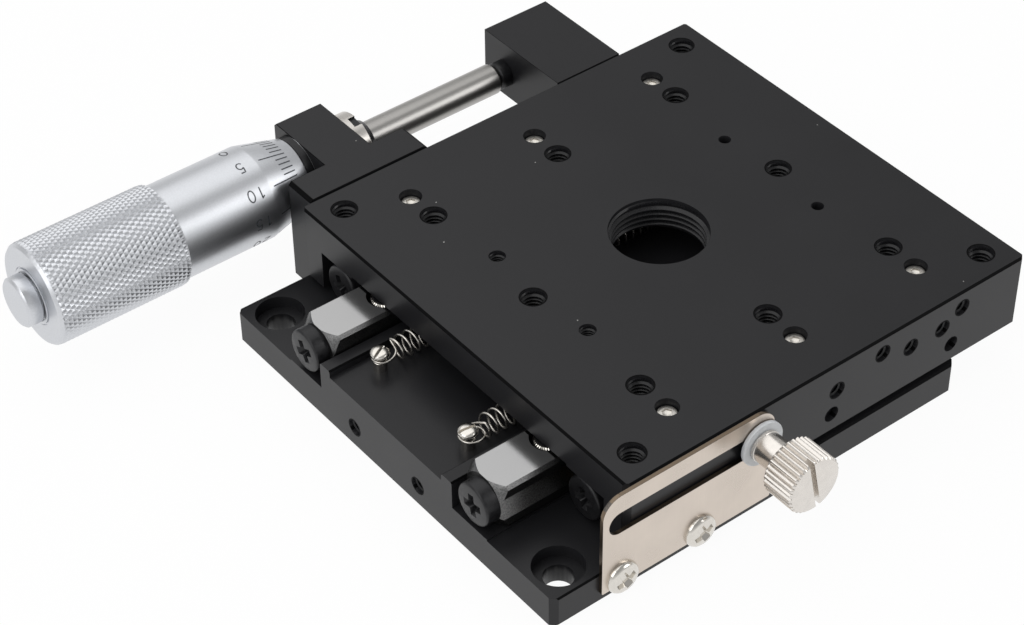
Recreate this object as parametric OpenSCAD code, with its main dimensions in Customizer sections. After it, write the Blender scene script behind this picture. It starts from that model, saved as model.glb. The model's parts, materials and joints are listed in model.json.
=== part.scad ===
// Manual linear stage: a table that slides on crossed rollers, moved by a micrometer head at its side.
// +X is the way the table travels, +Y is the micrometer's side and +Z is up.
// The origin is the centre of the base plate's underside. The table stands at the far end of its travel.

/* [Base plate] */
// Length of the base plate along the travel
base_len = 120; // [116:1:130]
// Width of the base plate
base_w = 120; // [119:0.5:121]
// Height of the two low wings under the table's skirts
wing_top = 8.4; // [7.8:0.1:8.6]
// Height of the seats that carry the inner rails
seat_top = 8.8; // [8.7:0.05:9.2]
// Height of the ribs that the inner rails lean on
rib_top = 16.4; // [15:0.1:18]
// Width of the ribs
rib_w = 3.8; // [2.5:0.1:3.9]
// Height of the floor between the ribs
channel_floor = 14.5; // [14:0.1:14.6]
// Chamfer on the base plate's upright corners
base_corner = 1.5; // [0.5:0.1:2]
// Chamfer on the base plate's long edges
base_edge = 0.4; // [0.2:0.1:0.6]
// Distance from the base plate's sides and ends to its mounting holes
base_bolt_inset = 7.5; // [7.5:0.5:10]
// Diameter of the mounting holes
base_bolt_d = 7; // [5:0.5:8]
// Diameter of their counterbores
base_bore_d = 12; // [10:0.5:12]
// Depth of their counterbores
base_bore_depth = 3.3; // [2:0.1:5]
// Diameter of the hole through the middle of the base plate
base_centre_d = 25; // [15:0.5:26]
// Distance between the tapped holes in each end of the base plate
end_hole_pitch = 24; // [14:1:24]
// Height of those tapped holes
end_hole_z = 5.6; // [4:0.1:6]
// Depth of those tapped holes
end_hole_depth = 9; // [6:0.5:12]

/* [Table plate] */
// Length of the table along the travel
table_len = 120; // [118:1:130]
// Height of the table's top face
table_top = 30; // [29.5:0.1:31]
// Gap between the table's sides and what is bolted to the base plate's sides
side_gap = 0.3; // [0.2:0.05:0.6]
// Thickness of the table's skirts
skirt_t = 7.7; // [7.5:0.1:8]
// Gap between the skirts and the wings of the base plate
skirt_gap = 1.6; // [0.8:0.1:2.5]
// Gap between the table's underside and the inner rails
ceiling_gap = 0.6; // [0.5:0.05:0.7]
// Gap behind the front outer rail, which its preload screws bridge
preload_gap = 0.3; // [0.2:0.05:0.6]
// Chamfer on the table's edges
table_edge = 0.5; // [0.2:0.1:1]
// Chamfer on the table's upright corners
table_corner = 1.4; // [0.5:0.1:2]
// Depth of the blind tapped holes in the top
top_hole_depth = 7.5; // [5:0.5:8]
// Distance from the table's sides and ends to the inner ring of tapped holes
grid_inset = 22.5; // [22:0.5:24]
// Distance from the table's sides and ends to its corner tapped holes
corner_inset = 7.5; // [7:0.5:9]
// Diameter of the tapped holes of the grid
grid_hole_d = 6; // [4:0.5:6]
// Diameter of the threaded hole in the middle
centre_thread_d = 24; // [16:0.5:25]
// Diameter of the small tapped holes in the plates
small_tap_d = 4; // [3:0.5:4]
// Depth of the small tapped holes in the table's sides
side_hole_depth = 6; // [4:0.5:6.5]
// Distance between the upper pair of tapped holes in the table's front side
side_pair_pitch = 25; // [20:1:25]
// Distance from the middle of the table to the middle of that pair
side_pair_x = 27.3; // [26:0.1:28]
// Depth of that pair below the table's top
side_pair_depth = 4.8; // [4:0.1:5.2]
// Distance from the middle of the table to the lone tapped hole in its front side
single_hole_x = 1.1; // [0:0.1:4]

/* [Rails] */
// Length of a rail
rail_len = 112; // [108:1:114]
// Width of a rail
rail_w = 12.4; // [12.2:0.1:12.6]
// Height of a rail
rail_h = 12; // [11.8:0.1:12.2]
// Gap between an inner rail and the outer rail beside it
rail_gap = 2.4; // [2.2:0.1:2.6]
// Chamfer on a rail's long edges
rail_edge = 0.8; // [0.3:0.1:1]
// Radius of a turned rail end where it meets the end face
rail_end_r = 6.1; // [5.8:0.1:6.8]
// Width of the relief at the bottom of the groove
relief_w = 0.6; // [0.3:0.1:0.8]
// Depth of the relief at the bottom of the groove
relief_depth = 0.4; // [0.2:0.1:0.5]
// Distance from a rail's ends to its outermost screws
rail_screw_inset = 18.5; // [17:0.5:20]
// How far a rail's screws lie from the middle of its width, away from the groove
rail_hole_shift = 0.7; // [0.4:0.1:0.9]
// Diameter of the thread of an inner rail's screw
rail_screw_d = 4; // [3:0.5:4]
// Diameter of the head of an inner rail's screw
rail_head_d = 7; // [6:0.1:7.4]
// Height of the head of an inner rail's screw
rail_head_h = 4; // [3:0.1:4]
// Depth of the counterbores in the rails
rail_bore_depth = 4.2; // [4.1:0.1:4.6]
// Diameter of the thread of an outer rail's screw
outer_screw_d = 3; // [2.5:0.5:3]
// Diameter of the holes in the table's top for the outer rails' screws
outer_bore_d = 5.5; // [5.3:0.1:6]
// Depth of those holes
outer_bore_depth = 4.2; // [4:0.1:5.5]
// Diameter of the head of an outer rail's screw
outer_head_d = 4.8; // [4:0.1:5]
// Height of the head of an outer rail's screw
outer_head_h = 2.6; // [1.6:0.1:3]
// Diameter of the head of a rail's end screw
end_head_d = 10.8; // [9:0.1:11]
// Thickness of the head of a rail's end screw
end_head_h = 3.8; // [2:0.1:3.9]
// Diameter of the thread of a rail's end screw
end_screw_d = 3; // [2.5:0.5:3]
// Length of the thread of a rail's end screw
end_screw_len = 8; // [5:0.5:10]

/* [Rollers] */
// Side of the square space that the two grooves leave for the rollers
roller_d = 6; // [5.8:0.1:6.1]
// Gap between a roller's round side and its groove
roller_fit = 0.02; // [0.01:0.01:0.05]
// Gap between a roller's flat ends and the groove
roller_end_gap = 0.15; // [0.1:0.01:0.3]
// Rollers in each cage
roller_count = 10; // [6:1:10]
// Distance from roller to roller
roller_pitch = 8.4; // [7.6:0.1:8.6]
// Thickness of a cage's plate
cage_t = 1.2; // [0.8:0.1:1.4]
// Height of a cage's plate
cage_h = 11; // [10:0.1:11.4]
// Gap between a roller and the edge of its window in the cage
window_gap = 0.17; // [0.1:0.01:0.3]
// Plate beyond the outermost rollers' pitch, at each end of a cage
cage_end = 3.2; // [2:0.1:4]

/* [Travel] */
// Travel of the table from the middle, each way
half_travel = 20; // [16:0.5:20]

/* [Springs] */
// Distance from a rib of the base plate to the axis of the spring beside it
spring_inset = 4.6; // [4.2:0.1:5.5]
// Height of the springs' axis above the channel's floor
spring_lift = 3.45; // [3.3:0.05:3.6]
// Diameter from side to side of a coil, between the middles of its wire
coil_d = 5.4; // [5:0.1:5.8]
// Diameter of the spring's wire
wire_d = 0.6; // [0.4:0.05:0.65]
// Number of coils
coil_turns = 38; // [20:1:42]
// Distance from a base post to the first coil
coil_lead = 4.5; // [4:0.1:6]
// Distance from the last coil to a table post
coil_tail = 11; // [9:0.5:20]
// Distance from the base plate's left end to its spring posts
base_post_inset = 11; // [8:0.5:12]
// Distance from the table's right end to its spring posts
table_post_inset = 25; // [23:0.5:26]
// Diameter of a spring post's stem
post_d = 3.3; // [3:0.1:3.6]
// Diameter of a spring post's neck, in the hook
neck_d = 3; // [2.6:0.1:3]
// Height of a spring post's head
post_head_h = 1.4; // [1.2:0.1:1.6]
// Diameter of a spring post's head
post_head_d = 4.7; // [4.5:0.1:5.4]
// Gap between a post's head and what it reaches towards
post_clear = 1.3; // [0.6:0.1:1.4]
// Gap between a post's neck and the wire of the hook
hook_gap = 0.3; // [0.2:0.05:0.4]
// Diameter of the thread that holds a spring post
post_thread_d = 3; // [2:0.5:3]

/* [Micrometer] */
// Height of the micrometer's axis
mic_z = 21; // [20.5:0.1:21.5]
// Distance from the side of the base plate to the micrometer's axis
mic_out = 21.2; // [21:0.1:22]
// Radius of the smooth part of the thimble
thimble_r = 12.15; // [11.8:0.05:12.2]
// Radius of the thimble's front edge
thimble_front_r = 9.35; // [9.3:0.05:9.8]
// Length of the bevel that carries the scale
bevel_len = 11.5; // [10:0.5:14]
// Length of the smooth part behind the bevel
smooth_len = 26.1; // [20:0.1:30]
// Length of the knurled grip
grip_len = 35.1; // [28:0.1:40]
// Radius of the knurled grip
grip_r = 13.1; // [12.5:0.05:13.4]
// Chamfer at the thimble's rear end
grip_chamfer = 0.8; // [0.4:0.1:1.2]
// Gap between the thimble's front edge and the lug
thimble_gap = 2.4; // [1.5:0.1:3]
// Thickness of the thimble's end cap
cap_t = 5; // [4:0.5:6]
// Radius of the thimble's end cap
cap_r = 10.4; // [10:0.1:11]
// Radius of the sleeve in the thimble
sleeve_r = 9; // [8.5:0.05:9.1]
// Gap between the sleeve's rear end and the thimble's end cap
sleeve_clear = 4.5; // [2:0.5:8]
// Radius of the spindle
spindle_r = 4; // [3.5:0.1:4.2]
// Chamfer on the spindle's tip
spindle_chamfer = 1; // [0.4:0.1:1.5]
// Radius of the spindle's journal in the end cap
journal_r = 2.5; // [2:0.1:3]
// Radius of the sleeve's stem in the lug
stem_r = 6; // [5.5:0.1:6.2]
// Radius of the clamp nut
nut_r = 8.44; // [7.6:0.02:8.8]
// Length of the clamp nut's straight part
nut_len = 4; // [3:0.1:5]
// Length of the clamp nut's cone
nut_cone_len = 2.8; // [2:0.1:3.5]
// Radius of the clamp nut's nose
nut_nose_r = 4.7; // [4.6:0.1:5.5]
// Width of the clamp nut's spanner slots
nut_slot_w = 2.6; // [2:0.1:3]
// Depth of the clamp nut's spanner slots
nut_slot_depth = 1.2; // [0.8:0.1:1.3]
// Radius of the knob at the thimble's end
knob_r = 6.3; // [5.5:0.1:7]
// Length of that knob with its groove
knob_len = 4.5; // [3.5:0.1:6]
// Radius of the groove between the knob and the thimble
knob_groove_r = 5.3; // [4.8:0.1:5.4]
// Length of the groove between the knob and the thimble
knob_groove_len = 0.8; // [0.4:0.1:1]

/* [Bracket and anvil] */
// Length of the micrometer bracket's plate along the travel
bracket_len = 34.6; // [34:0.1:38]
// Thickness of the bracket's plate
bracket_t = 9.2; // [8.4:0.1:9.2]
// Height of the bracket's lower edge
bracket_low = 0.8; // [0.5:0.1:1]
// Distance from the middle of the base plate to the bracket's right end
bracket_x = 2.4; // [1:0.1:3]
// Length of the lug along the travel
lug_len = 13.4; // [12:0.1:14]
// Distance from the bracket's right end to the lug
lug_inset = 10.6; // [10:0.1:12]
// Metal of the lug below and outside the micrometer's axis
lug_wall = 9.5; // [9:0.1:10]
// Chamfer on the edges of the bracket and the anvil block
bracket_edge = 0.8; // [0.3:0.1:1]
// Distance between the bracket's screws
bracket_screw_pitch = 25; // [24.8:0.1:25.5]
// Gap between the anvil block and the bracket at the near end of the travel
anvil_gap = 0.3; // [0.2:0.1:1]
// Length of the anvil block along the travel
anvil_len = 20; // [20:0.5:21]
// Height of the anvil block
anvil_h = 16; // [15:0.5:17]
// Metal of the anvil block outside the micrometer's axis
anvil_wall = 9; // [8:0.1:10]
// Length of the anvil pin that shows
pin_out = 3.3; // [2:0.1:4]
// Radius of the anvil pin's head
pin_r = 3.6; // [3.4:0.1:4.5]
// Radius of the anvil pin's stem
pin_stem_r = 2.5; // [2:0.1:3]
// Length of the anvil pin's stem
pin_stem_len = 3.8; // [2.5:0.1:4]
// Distance from the block's left side to its first screw
anvil_screw_x = 6; // [5.8:0.1:6.4]
// Distance between the two screws of the anvil block
anvil_screw_pitch = 10; // [9.5:0.1:10.2]
// Diameter of the screws of the anvil block
anvil_screw_d = 3; // [2.5:0.5:3]

/* [Lock plate] */
// Length of the lock plate
lock_len = 48.5; // [47.5:0.5:50]
// Thickness of the lock plate
lock_t = 1; // [0.8:0.1:1.4]
// Height of the lock plate's lower edge
lock_low = 2.8; // [2.2:0.1:3]
// Radius of the lock plate's upper corners
lock_corner = 5; // [2:0.5:6]
// Width of the slot in the lock plate
slot_w = 6; // [5:0.1:7]
// Gap between the lock screw and the slot's ends at the ends of the travel
slot_end_gap = 1; // [0.8:0.05:1.2]
// Height of the slot's middle
slot_z = 22; // [21.5:0.1:22.5]
// Distance from the lock plate's left end to its first screw
lock_screw_inset = 5.6; // [5:0.1:7]
// Distance between the lock plate's screws
lock_screw_pitch = 22.1; // [20:0.1:24]
// Height of the screws that hold the bracket and the lock plate
side_screw_z = 5.2; // [5.1:0.05:5.3]
// Radius of the heads of the lock plate's screws
pan_head_r = 4.2; // [3.5:0.1:4.4]
// Thickness of the heads of the lock plate's screws
pan_head_h = 2; // [1.6:0.1:3]

/* [Lock screw] */
// Distance from the middle of the table to the lock screw
lock_x = 23.2; // [22:0.1:24]
// Diameter of the lock screw's thread
lock_screw_d = 3; // [3:0.5:4]
// Radius of the washer
washer_r = 5.7; // [5:0.1:6.5]
// Thickness of the washer
washer_t = 1; // [0.8:0.1:1.5]
// Radius of the lock screw's neck
lock_neck_r = 4; // [3.5:0.1:5]
// Length of the lock screw's neck
lock_neck_len = 7.2; // [5:0.1:9]
// Radius of the lock screw's knurled head
lock_head_r = 7.3; // [6.5:0.1:8]
// Length of the lock screw's knurled head
lock_head_len = 9.1; // [7:0.1:11]
// Number of teeth round the lock screw's head
lock_teeth = 40; // [24:1:48]
// Depth of those teeth
lock_tooth_depth = 0.4; // [0.2:0.05:0.6]
// Chamfer at both ends of the lock screw's head
lock_head_chamfer = 0.8; // [0.4:0.1:1.2]
// Width of the slot in the lock screw's head
lock_slot_w = 1.2; // [0.8:0.1:1.6]
// Depth of the slot in the lock screw's head
lock_slot_depth = 2.4; // [1:0.1:3]

/* [Fits] */
// Gap round a piece that turns or slides in its bore
run_fit = 0.05; // [0.02:0.01:0.08]
// Gap round a piece that is fixed in its hole
seat_fit = 0.02; // [0.01:0.01:0.03]
// Gap between the faces of pieces that turn or slide past each other
face_gap = 0.2; // [0.1:0.05:0.25]

/* [Hidden] */

$fn = 64;
// One overrun serves every cut
over = 1;

// Small sizes of the screws and holes, each used where its name says
rail_head_gap = 0.8;
rail_thread_depth = 6.5;
outer_screw_len = 11.8;
side_thread_len = 8;
side_hole_gap = 0.4;
side_bore_r = 3.8;
side_bore_depth = 4.4;
anvil_bore_depth = 3.4;
anvil_thread_len = 7;
lock_thread_depth = 7;
post_thread_len = 6;
set_screw_len = 6;
pin_edge = 0.5;
sleeve_edge = 0.5;
knob_edge = 0.6;
lock_edge = 0.3;
washer_gap = 0.15;
// Room beyond the end of a screw's thread
thread_end_gap = 0.5;
// Height of the set screws
set_screw_z = 15.4;

// Proportions of screw heads and rollers
cap_socket_share = 0.43;
head_chamfer_share = 0.15;
cross_arm_share = 0.62;
cross_width_share = 0.13;
cross_depth_share = 0.6;
crown_share = 0.35;
slot_width_share = 0.1;
slot_depth_share = 0.5;
roller_edge_share = 0.05;

// Places across the stage, from its sides inwards
half_w = base_w / 2;
half_len = base_len / 2;
table_half_w = half_w - side_gap;
table_half_len = table_len / 2;
outer_back = table_half_w - skirt_t;
outer_face = outer_back - rail_w;
inner_face = outer_face - rail_gap;
inner_back = inner_face - rail_w;
rib_in = inner_back - rib_w;
spring_y = rib_in - spring_inset;
roller_y = inner_face + rail_gap / 2;

// Heights
rail_top = seat_top + rail_h;
roller_z = seat_top + rail_h / 2;
ceiling = rail_top + ceiling_gap;
skirt_low = wing_top + skirt_gap;
spring_z = channel_floor + spring_lift;

// Places of the table's tapped holes, counted from its middle
grid_x = table_half_len - grid_inset;
grid_y = half_w - grid_inset;
corner_x = table_half_len - corner_inset;
corner_y = half_w - corner_inset;

// The table stands this far from the middle of its travel, and the rollers half as far
table_shift = half_travel;
cage_shift = table_shift / 2;

// Groove and screws of a rail, counted from the rail's back
rail_half = rail_len / 2;
groove_half = roller_d / 2 * sqrt(2) - rail_gap / 2;
rail_screw_y = rail_w / 2 - rail_hole_shift;
rail_end_screw_y = rail_w / 2 + rail_hole_shift;
rail_screw_x = [-rail_half + rail_screw_inset, 0, rail_half - rail_screw_inset];
// A rail's corner reaches this far from its middle, and the turning cuts it at half a right angle
rail_corner_r = norm([rail_w, rail_h]) / 2;
rail_turn_len = rail_corner_r - rail_end_r;
rail_bore_d = rail_head_d + 2 * rail_head_gap;
outer_screw_y = outer_back - rail_screw_y;
inner_screw_y = inner_back + rail_screw_y;

// Where the springs hook on, counted from the base post
base_post_x = half_len - base_post_inset;
table_post_x = table_half_len - table_post_inset;
hook_r = (neck_d + wire_d) / 2 + hook_gap;
spring_span = table_shift + table_post_x + base_post_x;
coil_r = coil_d / 2;
coil_pitch = (spring_span - coil_lead - coil_tail) / coil_turns;

// Places along the micrometer
mic_y = half_w + mic_out;
lug_right = -bracket_x - lug_inset;
lug_left = lug_right - lug_len;
thimble_front = lug_left - thimble_gap;
bevel_end = thimble_front - bevel_len;
grip_front = bevel_end - smooth_len;
grip_rear = grip_front - grip_len;
cap_front = grip_rear + cap_t;
sleeve_rear = cap_front + sleeve_clear;
nut_nose = lug_right + nut_len + nut_cone_len;
stem_end = lug_right + nut_len - face_gap;
anvil_left = -bracket_x + anvil_gap + 2 * half_travel;
spindle_tip = anvil_left - pin_out - face_gap / 2;
anvil_right = anvil_left + anvil_len;
anvil_low = table_top - anvil_h;
anvil_out = mic_y + anvil_wall;
anvil_screw_z = table_top - anvil_h / 2;
anvil_screws = [anvil_left + anvil_screw_x, anvil_left + anvil_screw_x + anvil_screw_pitch];
bracket_mid = -bracket_x - bracket_len / 2;
bracket_screws_x = [bracket_mid - bracket_screw_pitch / 2, bracket_mid + bracket_screw_pitch / 2];

// Places of the lock, whose plate is centred on the travel of its screw
lock_plate_left = -lock_x - lock_len / 2;
lock_screws_x = [lock_plate_left + lock_screw_inset, lock_plate_left + lock_screw_inset + lock_screw_pitch];
slot_half = half_travel + lock_screw_d / 2 + slot_end_gap;
lock_screw_x = table_shift - lock_x;
plate_face = half_w + lock_t;
washer_face = plate_face + face_gap + washer_t;
neck_rear = washer_face + face_gap / 2;
head_rear = neck_rear + lock_neck_len;
head_face = head_rear + lock_head_len;

// Colours
plate_black = "#3c3c3e";
rail_grey = "#b4b4b2";
steel = "#c8c8c6";
screw_black = "#262628";
chrome = "#d8d8d6";
nickel = "#9c9284";
brass = "#b89a5a";

// Boxes and bars

module block(low, high) {
    translate(low) cube(high - low);
}

// An outline of Y and Z drawn out along +X
module along_x(length, outline) {
    rotate([90, 0, 90]) linear_extrude(length) polygon(outline);
}

// An outline of X and Z drawn out along +Y
module along_y(length, outline) {
    translate([0, length, 0]) rotate([90, 0, 0]) linear_extrude(length) polygon(outline);
}

module rod_x(r, length) {
    rotate([0, 90, 0]) cylinder(r = r, h = length);
}

module rod_y(r, length) {
    rotate([-90, 0, 0]) cylinder(r = r, h = length);
}

// An outline of radius and X turned round the X axis
module turned_x(outline) {
    rotate([0, 90, 0]) rotate_extrude() polygon(outline);
}

// An outline of radius and Y turned round the Y axis
module turned_y(outline) {
    rotate([-90, 0, 0]) rotate_extrude() polygon(outline);
}

// A rectangle with its corners cut
function cut_corners(x0, y0, x1, y1, c) = [
    [x0 + c, y0], [x1 - c, y0], [x1, y0 + c], [x1, y1 - c],
    [x1 - c, y1], [x0 + c, y1], [x0, y1 - c], [x0, y0 + c]
];

// A flat plate with cut corners, drawn up from z = low
module cut_plate(half_x, half_y, low, high, c) {
    translate([0, 0, low]) linear_extrude(high - low)
        polygon(cut_corners(-half_x, -half_y, half_x, half_y, c));
}

module at_both_sides() {
    children();
    mirror([0, 1, 0]) children();
}

// Screws, drawn with the head's underside at z = 0 and the thread below it

module cap_screw(thread_d, length, head_d, head_h) {
    socket = thread_d * cap_socket_share;
    difference() {
        union() {
            rotate_extrude() polygon([
                [0, 0], [head_d / 2, 0], [head_d / 2, head_h * (1 - head_chamfer_share)],
                [head_d / 2 - head_h * head_chamfer_share, head_h], [0, head_h]
            ]);
            translate([0, 0, -length]) cylinder(d = thread_d, h = length + head_h / 2);
        }
        translate([0, 0, head_h / 2]) cylinder(r = socket, h = head_h, $fn = 6);
    }
}

module cross_screw(thread_d, length, head_r, head_h) {
    arm = head_r * cross_arm_share;
    width = head_r * cross_width_share;
    depth = head_h * cross_depth_share;
    crown = head_h * crown_share;
    crown_r = (pow(head_r, 2) + pow(crown, 2)) / (2 * crown);
    difference() {
        union() {
            cylinder(r = head_r, h = head_h - crown);
            intersection() {
                cylinder(r = head_r, h = head_h);
                translate([0, 0, head_h - crown_r]) sphere(r = crown_r);
            }
            translate([0, 0, -length]) cylinder(d = thread_d, h = length + head_h / 2);
        }
        for (a = [0, 90]) rotate([0, 0, a])
            block([-arm, -width, head_h - depth], [arm, width, head_h + over]);
    }
}

module slotted_screw(thread_d, length, head_d, head_h) {
    width = head_d * slot_width_share;
    edge = head_h * head_chamfer_share;
    difference() {
        union() {
            rotate_extrude() polygon([
                [0, 0], [head_d / 2, 0], [head_d / 2, head_h - edge], [head_d / 2 - edge, head_h], [0, head_h]
            ]);
            translate([0, 0, -length]) cylinder(d = thread_d, h = length + head_h / 2);
        }
        block([-head_d, -width, head_h * slot_depth_share], [head_d, width, head_h + over]);
    }
}

// Base plate

base_half_outline = [
    [half_w - base_edge, 0], [half_w, base_edge], [half_w, wing_top - base_edge], [half_w - base_edge, wing_top],
    [inner_face, wing_top], [inner_face, seat_top], [inner_back, seat_top],
    [inner_back, rib_top - base_edge], [inner_back - base_edge, rib_top],
    [rib_in + base_edge, rib_top], [rib_in, rib_top - base_edge], [rib_in, channel_floor]
];

function mirrored(half) = concat(half, [for (i = [len(half) - 1:-1:0]) [-half[i][0], half[i][1]]]);

module base_holes() {
    for (x = [-1, 1] * (half_len - base_bolt_inset), y = [-1, 1] * (half_w - base_bolt_inset)) translate([x, y, 0]) {
        translate([0, 0, -over]) cylinder(d = base_bolt_d, h = wing_top + 2 * over);
        translate([0, 0, wing_top - base_bore_depth]) cylinder(d = base_bore_d, h = base_bore_depth + over);
    }
    translate([0, 0, -over]) cylinder(d = base_centre_d, h = channel_floor + 2 * over);
    for (y = [-1, 1] * end_hole_pitch / 2) {
        translate([-half_len - over, y, end_hole_z]) rod_x(small_tap_d / 2, end_hole_depth + over);
        translate([half_len - end_hole_depth, y, end_hole_z]) rod_x(small_tap_d / 2, end_hole_depth + over);
    }
}

module base_plate() {
    color(plate_black) difference() {
        intersection() {
            translate([-half_len, 0, 0]) along_x(base_len, mirrored(base_half_outline));
            cut_plate(half_len, half_w, -over, table_top, base_corner);
        }
        base_holes();
        at_both_sides() {
            for (x = rail_screw_x) translate([x, inner_screw_y, seat_top - rail_thread_depth])
                cylinder(d = rail_screw_d + 2 * seat_fit, h = rail_thread_depth + over);
            translate([-base_post_x, spring_y, channel_floor - post_thread_len])
                cylinder(d = post_thread_d + 2 * seat_fit, h = post_thread_len + over);
        }
        for (x = bracket_screws_x) translate([x, half_w - side_thread_len, side_screw_z])
            rod_y(small_tap_d / 2 + seat_fit, side_thread_len + over);
        for (x = lock_screws_x) translate([x, -half_w - over, side_screw_z])
            rod_y(small_tap_d / 2 + seat_fit, side_thread_len + over);
    }
}

// Guide rails

rail_outline = [
    [rail_edge, 0], [rail_w - rail_edge, 0], [rail_w, rail_edge],
    [rail_w, rail_h / 2 - groove_half],
    [rail_w - groove_half + relief_w / 2, rail_h / 2 - relief_w / 2],
    [rail_w - groove_half - relief_depth, rail_h / 2 - relief_w / 2],
    [rail_w - groove_half - relief_depth, rail_h / 2 + relief_w / 2],
    [rail_w - groove_half + relief_w / 2, rail_h / 2 + relief_w / 2],
    [rail_w, rail_h / 2 + groove_half],
    [rail_w, rail_h - rail_edge], [rail_w - rail_edge, rail_h],
    [rail_edge, rail_h], [0, rail_h - rail_edge], [0, rail_edge]
];

// A rail with its back at y = 0, its groove towards +Y and its counterbores up
module guide_rail(hole_d) {
    color(rail_grey) difference() {
        intersection() {
            translate([-rail_half, 0, 0]) along_x(rail_len, rail_outline);
            translate([0, rail_w / 2, rail_h / 2]) turned_x([
                [0, -rail_half], [rail_end_r, -rail_half],
                [rail_corner_r + over, -rail_half + rail_turn_len + over],
                [rail_corner_r + over, rail_half - rail_turn_len - over],
                [rail_end_r, rail_half], [0, rail_half]
            ]);
        }
        for (x = rail_screw_x) translate([x, rail_screw_y, 0]) {
            translate([0, 0, -over]) cylinder(d = hole_d, h = rail_h + 2 * over);
            translate([0, 0, rail_h - rail_bore_depth]) cylinder(d = rail_bore_d, h = rail_bore_depth + over);
        }
        for (side = [-1, 1]) translate([side * (rail_half - end_screw_len / 2), rail_end_screw_y, rail_h / 2])
            translate([-end_screw_len / 2 - over, 0, 0])
                rod_x(end_screw_d / 2 + seat_fit, end_screw_len + 2 * over);
    }
}

module inner_rail_rear() {
    translate([0, inner_back, seat_top]) guide_rail(rail_screw_d + rail_head_gap);
}

module inner_rail_front() {
    mirror([0, 1, 0]) inner_rail_rear();
}

// The outer rails hang from the table with their counterbores down
module outer_rail_rear() {
    translate([table_shift, outer_back, rail_top]) rotate([180, 0, 0]) guide_rail(outer_screw_d + 2 * seat_fit);
}

module outer_rail_front() {
    mirror([0, 1, 0]) outer_rail_rear();
}

module inner_rail_screws() {
    color(chrome) at_both_sides()
        for (x = rail_screw_x) translate([x, inner_screw_y, rail_top - rail_bore_depth])
            cap_screw(rail_screw_d, rail_h - rail_bore_depth + rail_thread_depth - thread_end_gap, rail_head_d, rail_head_h);
}

module outer_rail_screws() {
    color(chrome) translate([table_shift, 0, table_top - outer_bore_depth]) at_both_sides()
        for (x = rail_screw_x) translate([x, outer_screw_y, 0])
            slotted_screw(outer_screw_d, outer_screw_len, outer_head_d, outer_head_h);
}

// Two end screws, one at each end of a rail that is centred on x = 0
module end_screws(y) {
    for (side = [-1, 1]) translate([side * rail_half, y, roller_z]) rotate([0, side * 90, 0])
        cross_screw(end_screw_d, end_screw_len - thread_end_gap, end_head_d / 2, end_head_h);
}

module inner_rail_end_screws() {
    color(screw_black) at_both_sides() end_screws(inner_back + rail_end_screw_y);
}

module outer_rail_end_screws() {
    color(screw_black) translate([table_shift, 0, 0]) at_both_sides() end_screws(outer_back - rail_end_screw_y);
}

// Table plate

// The front skirt stands back from its rail by the preload gap
table_outline = [
    [table_half_w - table_edge, table_top], [-table_half_w + table_edge, table_top],
    [-table_half_w, table_top - table_edge], [-table_half_w, skirt_low + table_edge],
    [-table_half_w + table_edge, skirt_low], [-outer_back - preload_gap, skirt_low],
    [-outer_back - preload_gap, rail_top], [-outer_face, rail_top], [-outer_face, ceiling],
    [outer_face, ceiling], [outer_face, rail_top], [outer_back, rail_top], [outer_back, skirt_low],
    [table_half_w - table_edge, skirt_low], [table_half_w, skirt_low + table_edge],
    [table_half_w, table_top - table_edge]
];

table_long_outline = [
    [-table_half_len, -over], [table_half_len, -over], [table_half_len, table_top - table_edge],
    [table_half_len - table_edge, table_top], [-table_half_len + table_edge, table_top],
    [-table_half_len, table_top - table_edge]
];

module table_body() {
    intersection() {
        translate([-table_half_len, 0, 0]) along_x(table_len, table_outline);
        translate([0, -half_w, 0]) along_y(base_w, table_long_outline);
        cut_plate(table_half_len, table_half_w, 0, table_top + over, table_corner);
    }
}

module top_hole(x, y, d) {
    translate([x, y, table_top - top_hole_depth]) cylinder(d = d, h = top_hole_depth + over);
}

module table_top_holes() {
    for (i = [-1:1], j = [-1:1]) if (i != 0 || j != 0) top_hole(i * grid_x, j * grid_y, grid_hole_d);
    for (x = [-1, 1] * corner_x, y = [-1, 1] * corner_y) top_hole(x, y, grid_hole_d);
    translate([0, 0, ceiling - over]) cylinder(d = centre_thread_d, h = table_top - ceiling + 2 * over);
    at_both_sides() {
        translate([-table_post_x, spring_y, ceiling - over])
            cylinder(d = small_tap_d, h = table_top - ceiling + 2 * over);
        translate([table_post_x, spring_y, ceiling - over])
            cylinder(d = post_thread_d + 2 * seat_fit, h = table_top - ceiling + 2 * over);
        for (x = rail_screw_x) translate([x, outer_screw_y, 0]) {
            translate([0, 0, rail_top - over]) cylinder(d = outer_screw_d + rail_head_gap, h = table_top);
            translate([0, 0, table_top - outer_bore_depth]) cylinder(d = outer_bore_d, h = outer_bore_depth + over);
        }
    }
}

// A blind hole in the table's front side
module front_hole(x, z, d, depth) {
    translate([x, -table_half_w - over, z]) rod_y(d / 2, depth + over);
}

module table_side_holes() {
    for (x = anvil_screws) {
        front_hole(x - table_shift, anvil_screw_z, small_tap_d, side_hole_depth);
        translate([x - table_shift, table_half_w - anvil_thread_len, anvil_screw_z])
            rod_y(anvil_screw_d / 2 + seat_fit, anvil_thread_len + over);
    }
    for (x = [-1, 1] * side_pair_pitch / 2)
        front_hole(side_pair_x + x, table_top - side_pair_depth, small_tap_d, side_hole_depth);
    front_hole(single_hole_x, anvil_screw_z, small_tap_d, side_hole_depth);
    front_hole(-lock_x, slot_z, lock_screw_d, lock_thread_depth);
    for (x = rail_screw_x) translate([x, -table_half_w - over, set_screw_z])
        rod_y(small_tap_d / 2 + seat_fit, skirt_t + over);
}

module table_plate() {
    color(plate_black) translate([table_shift, 0, 0]) difference() {
        table_body();
        table_top_holes();
        table_side_holes();
    }
}

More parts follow.
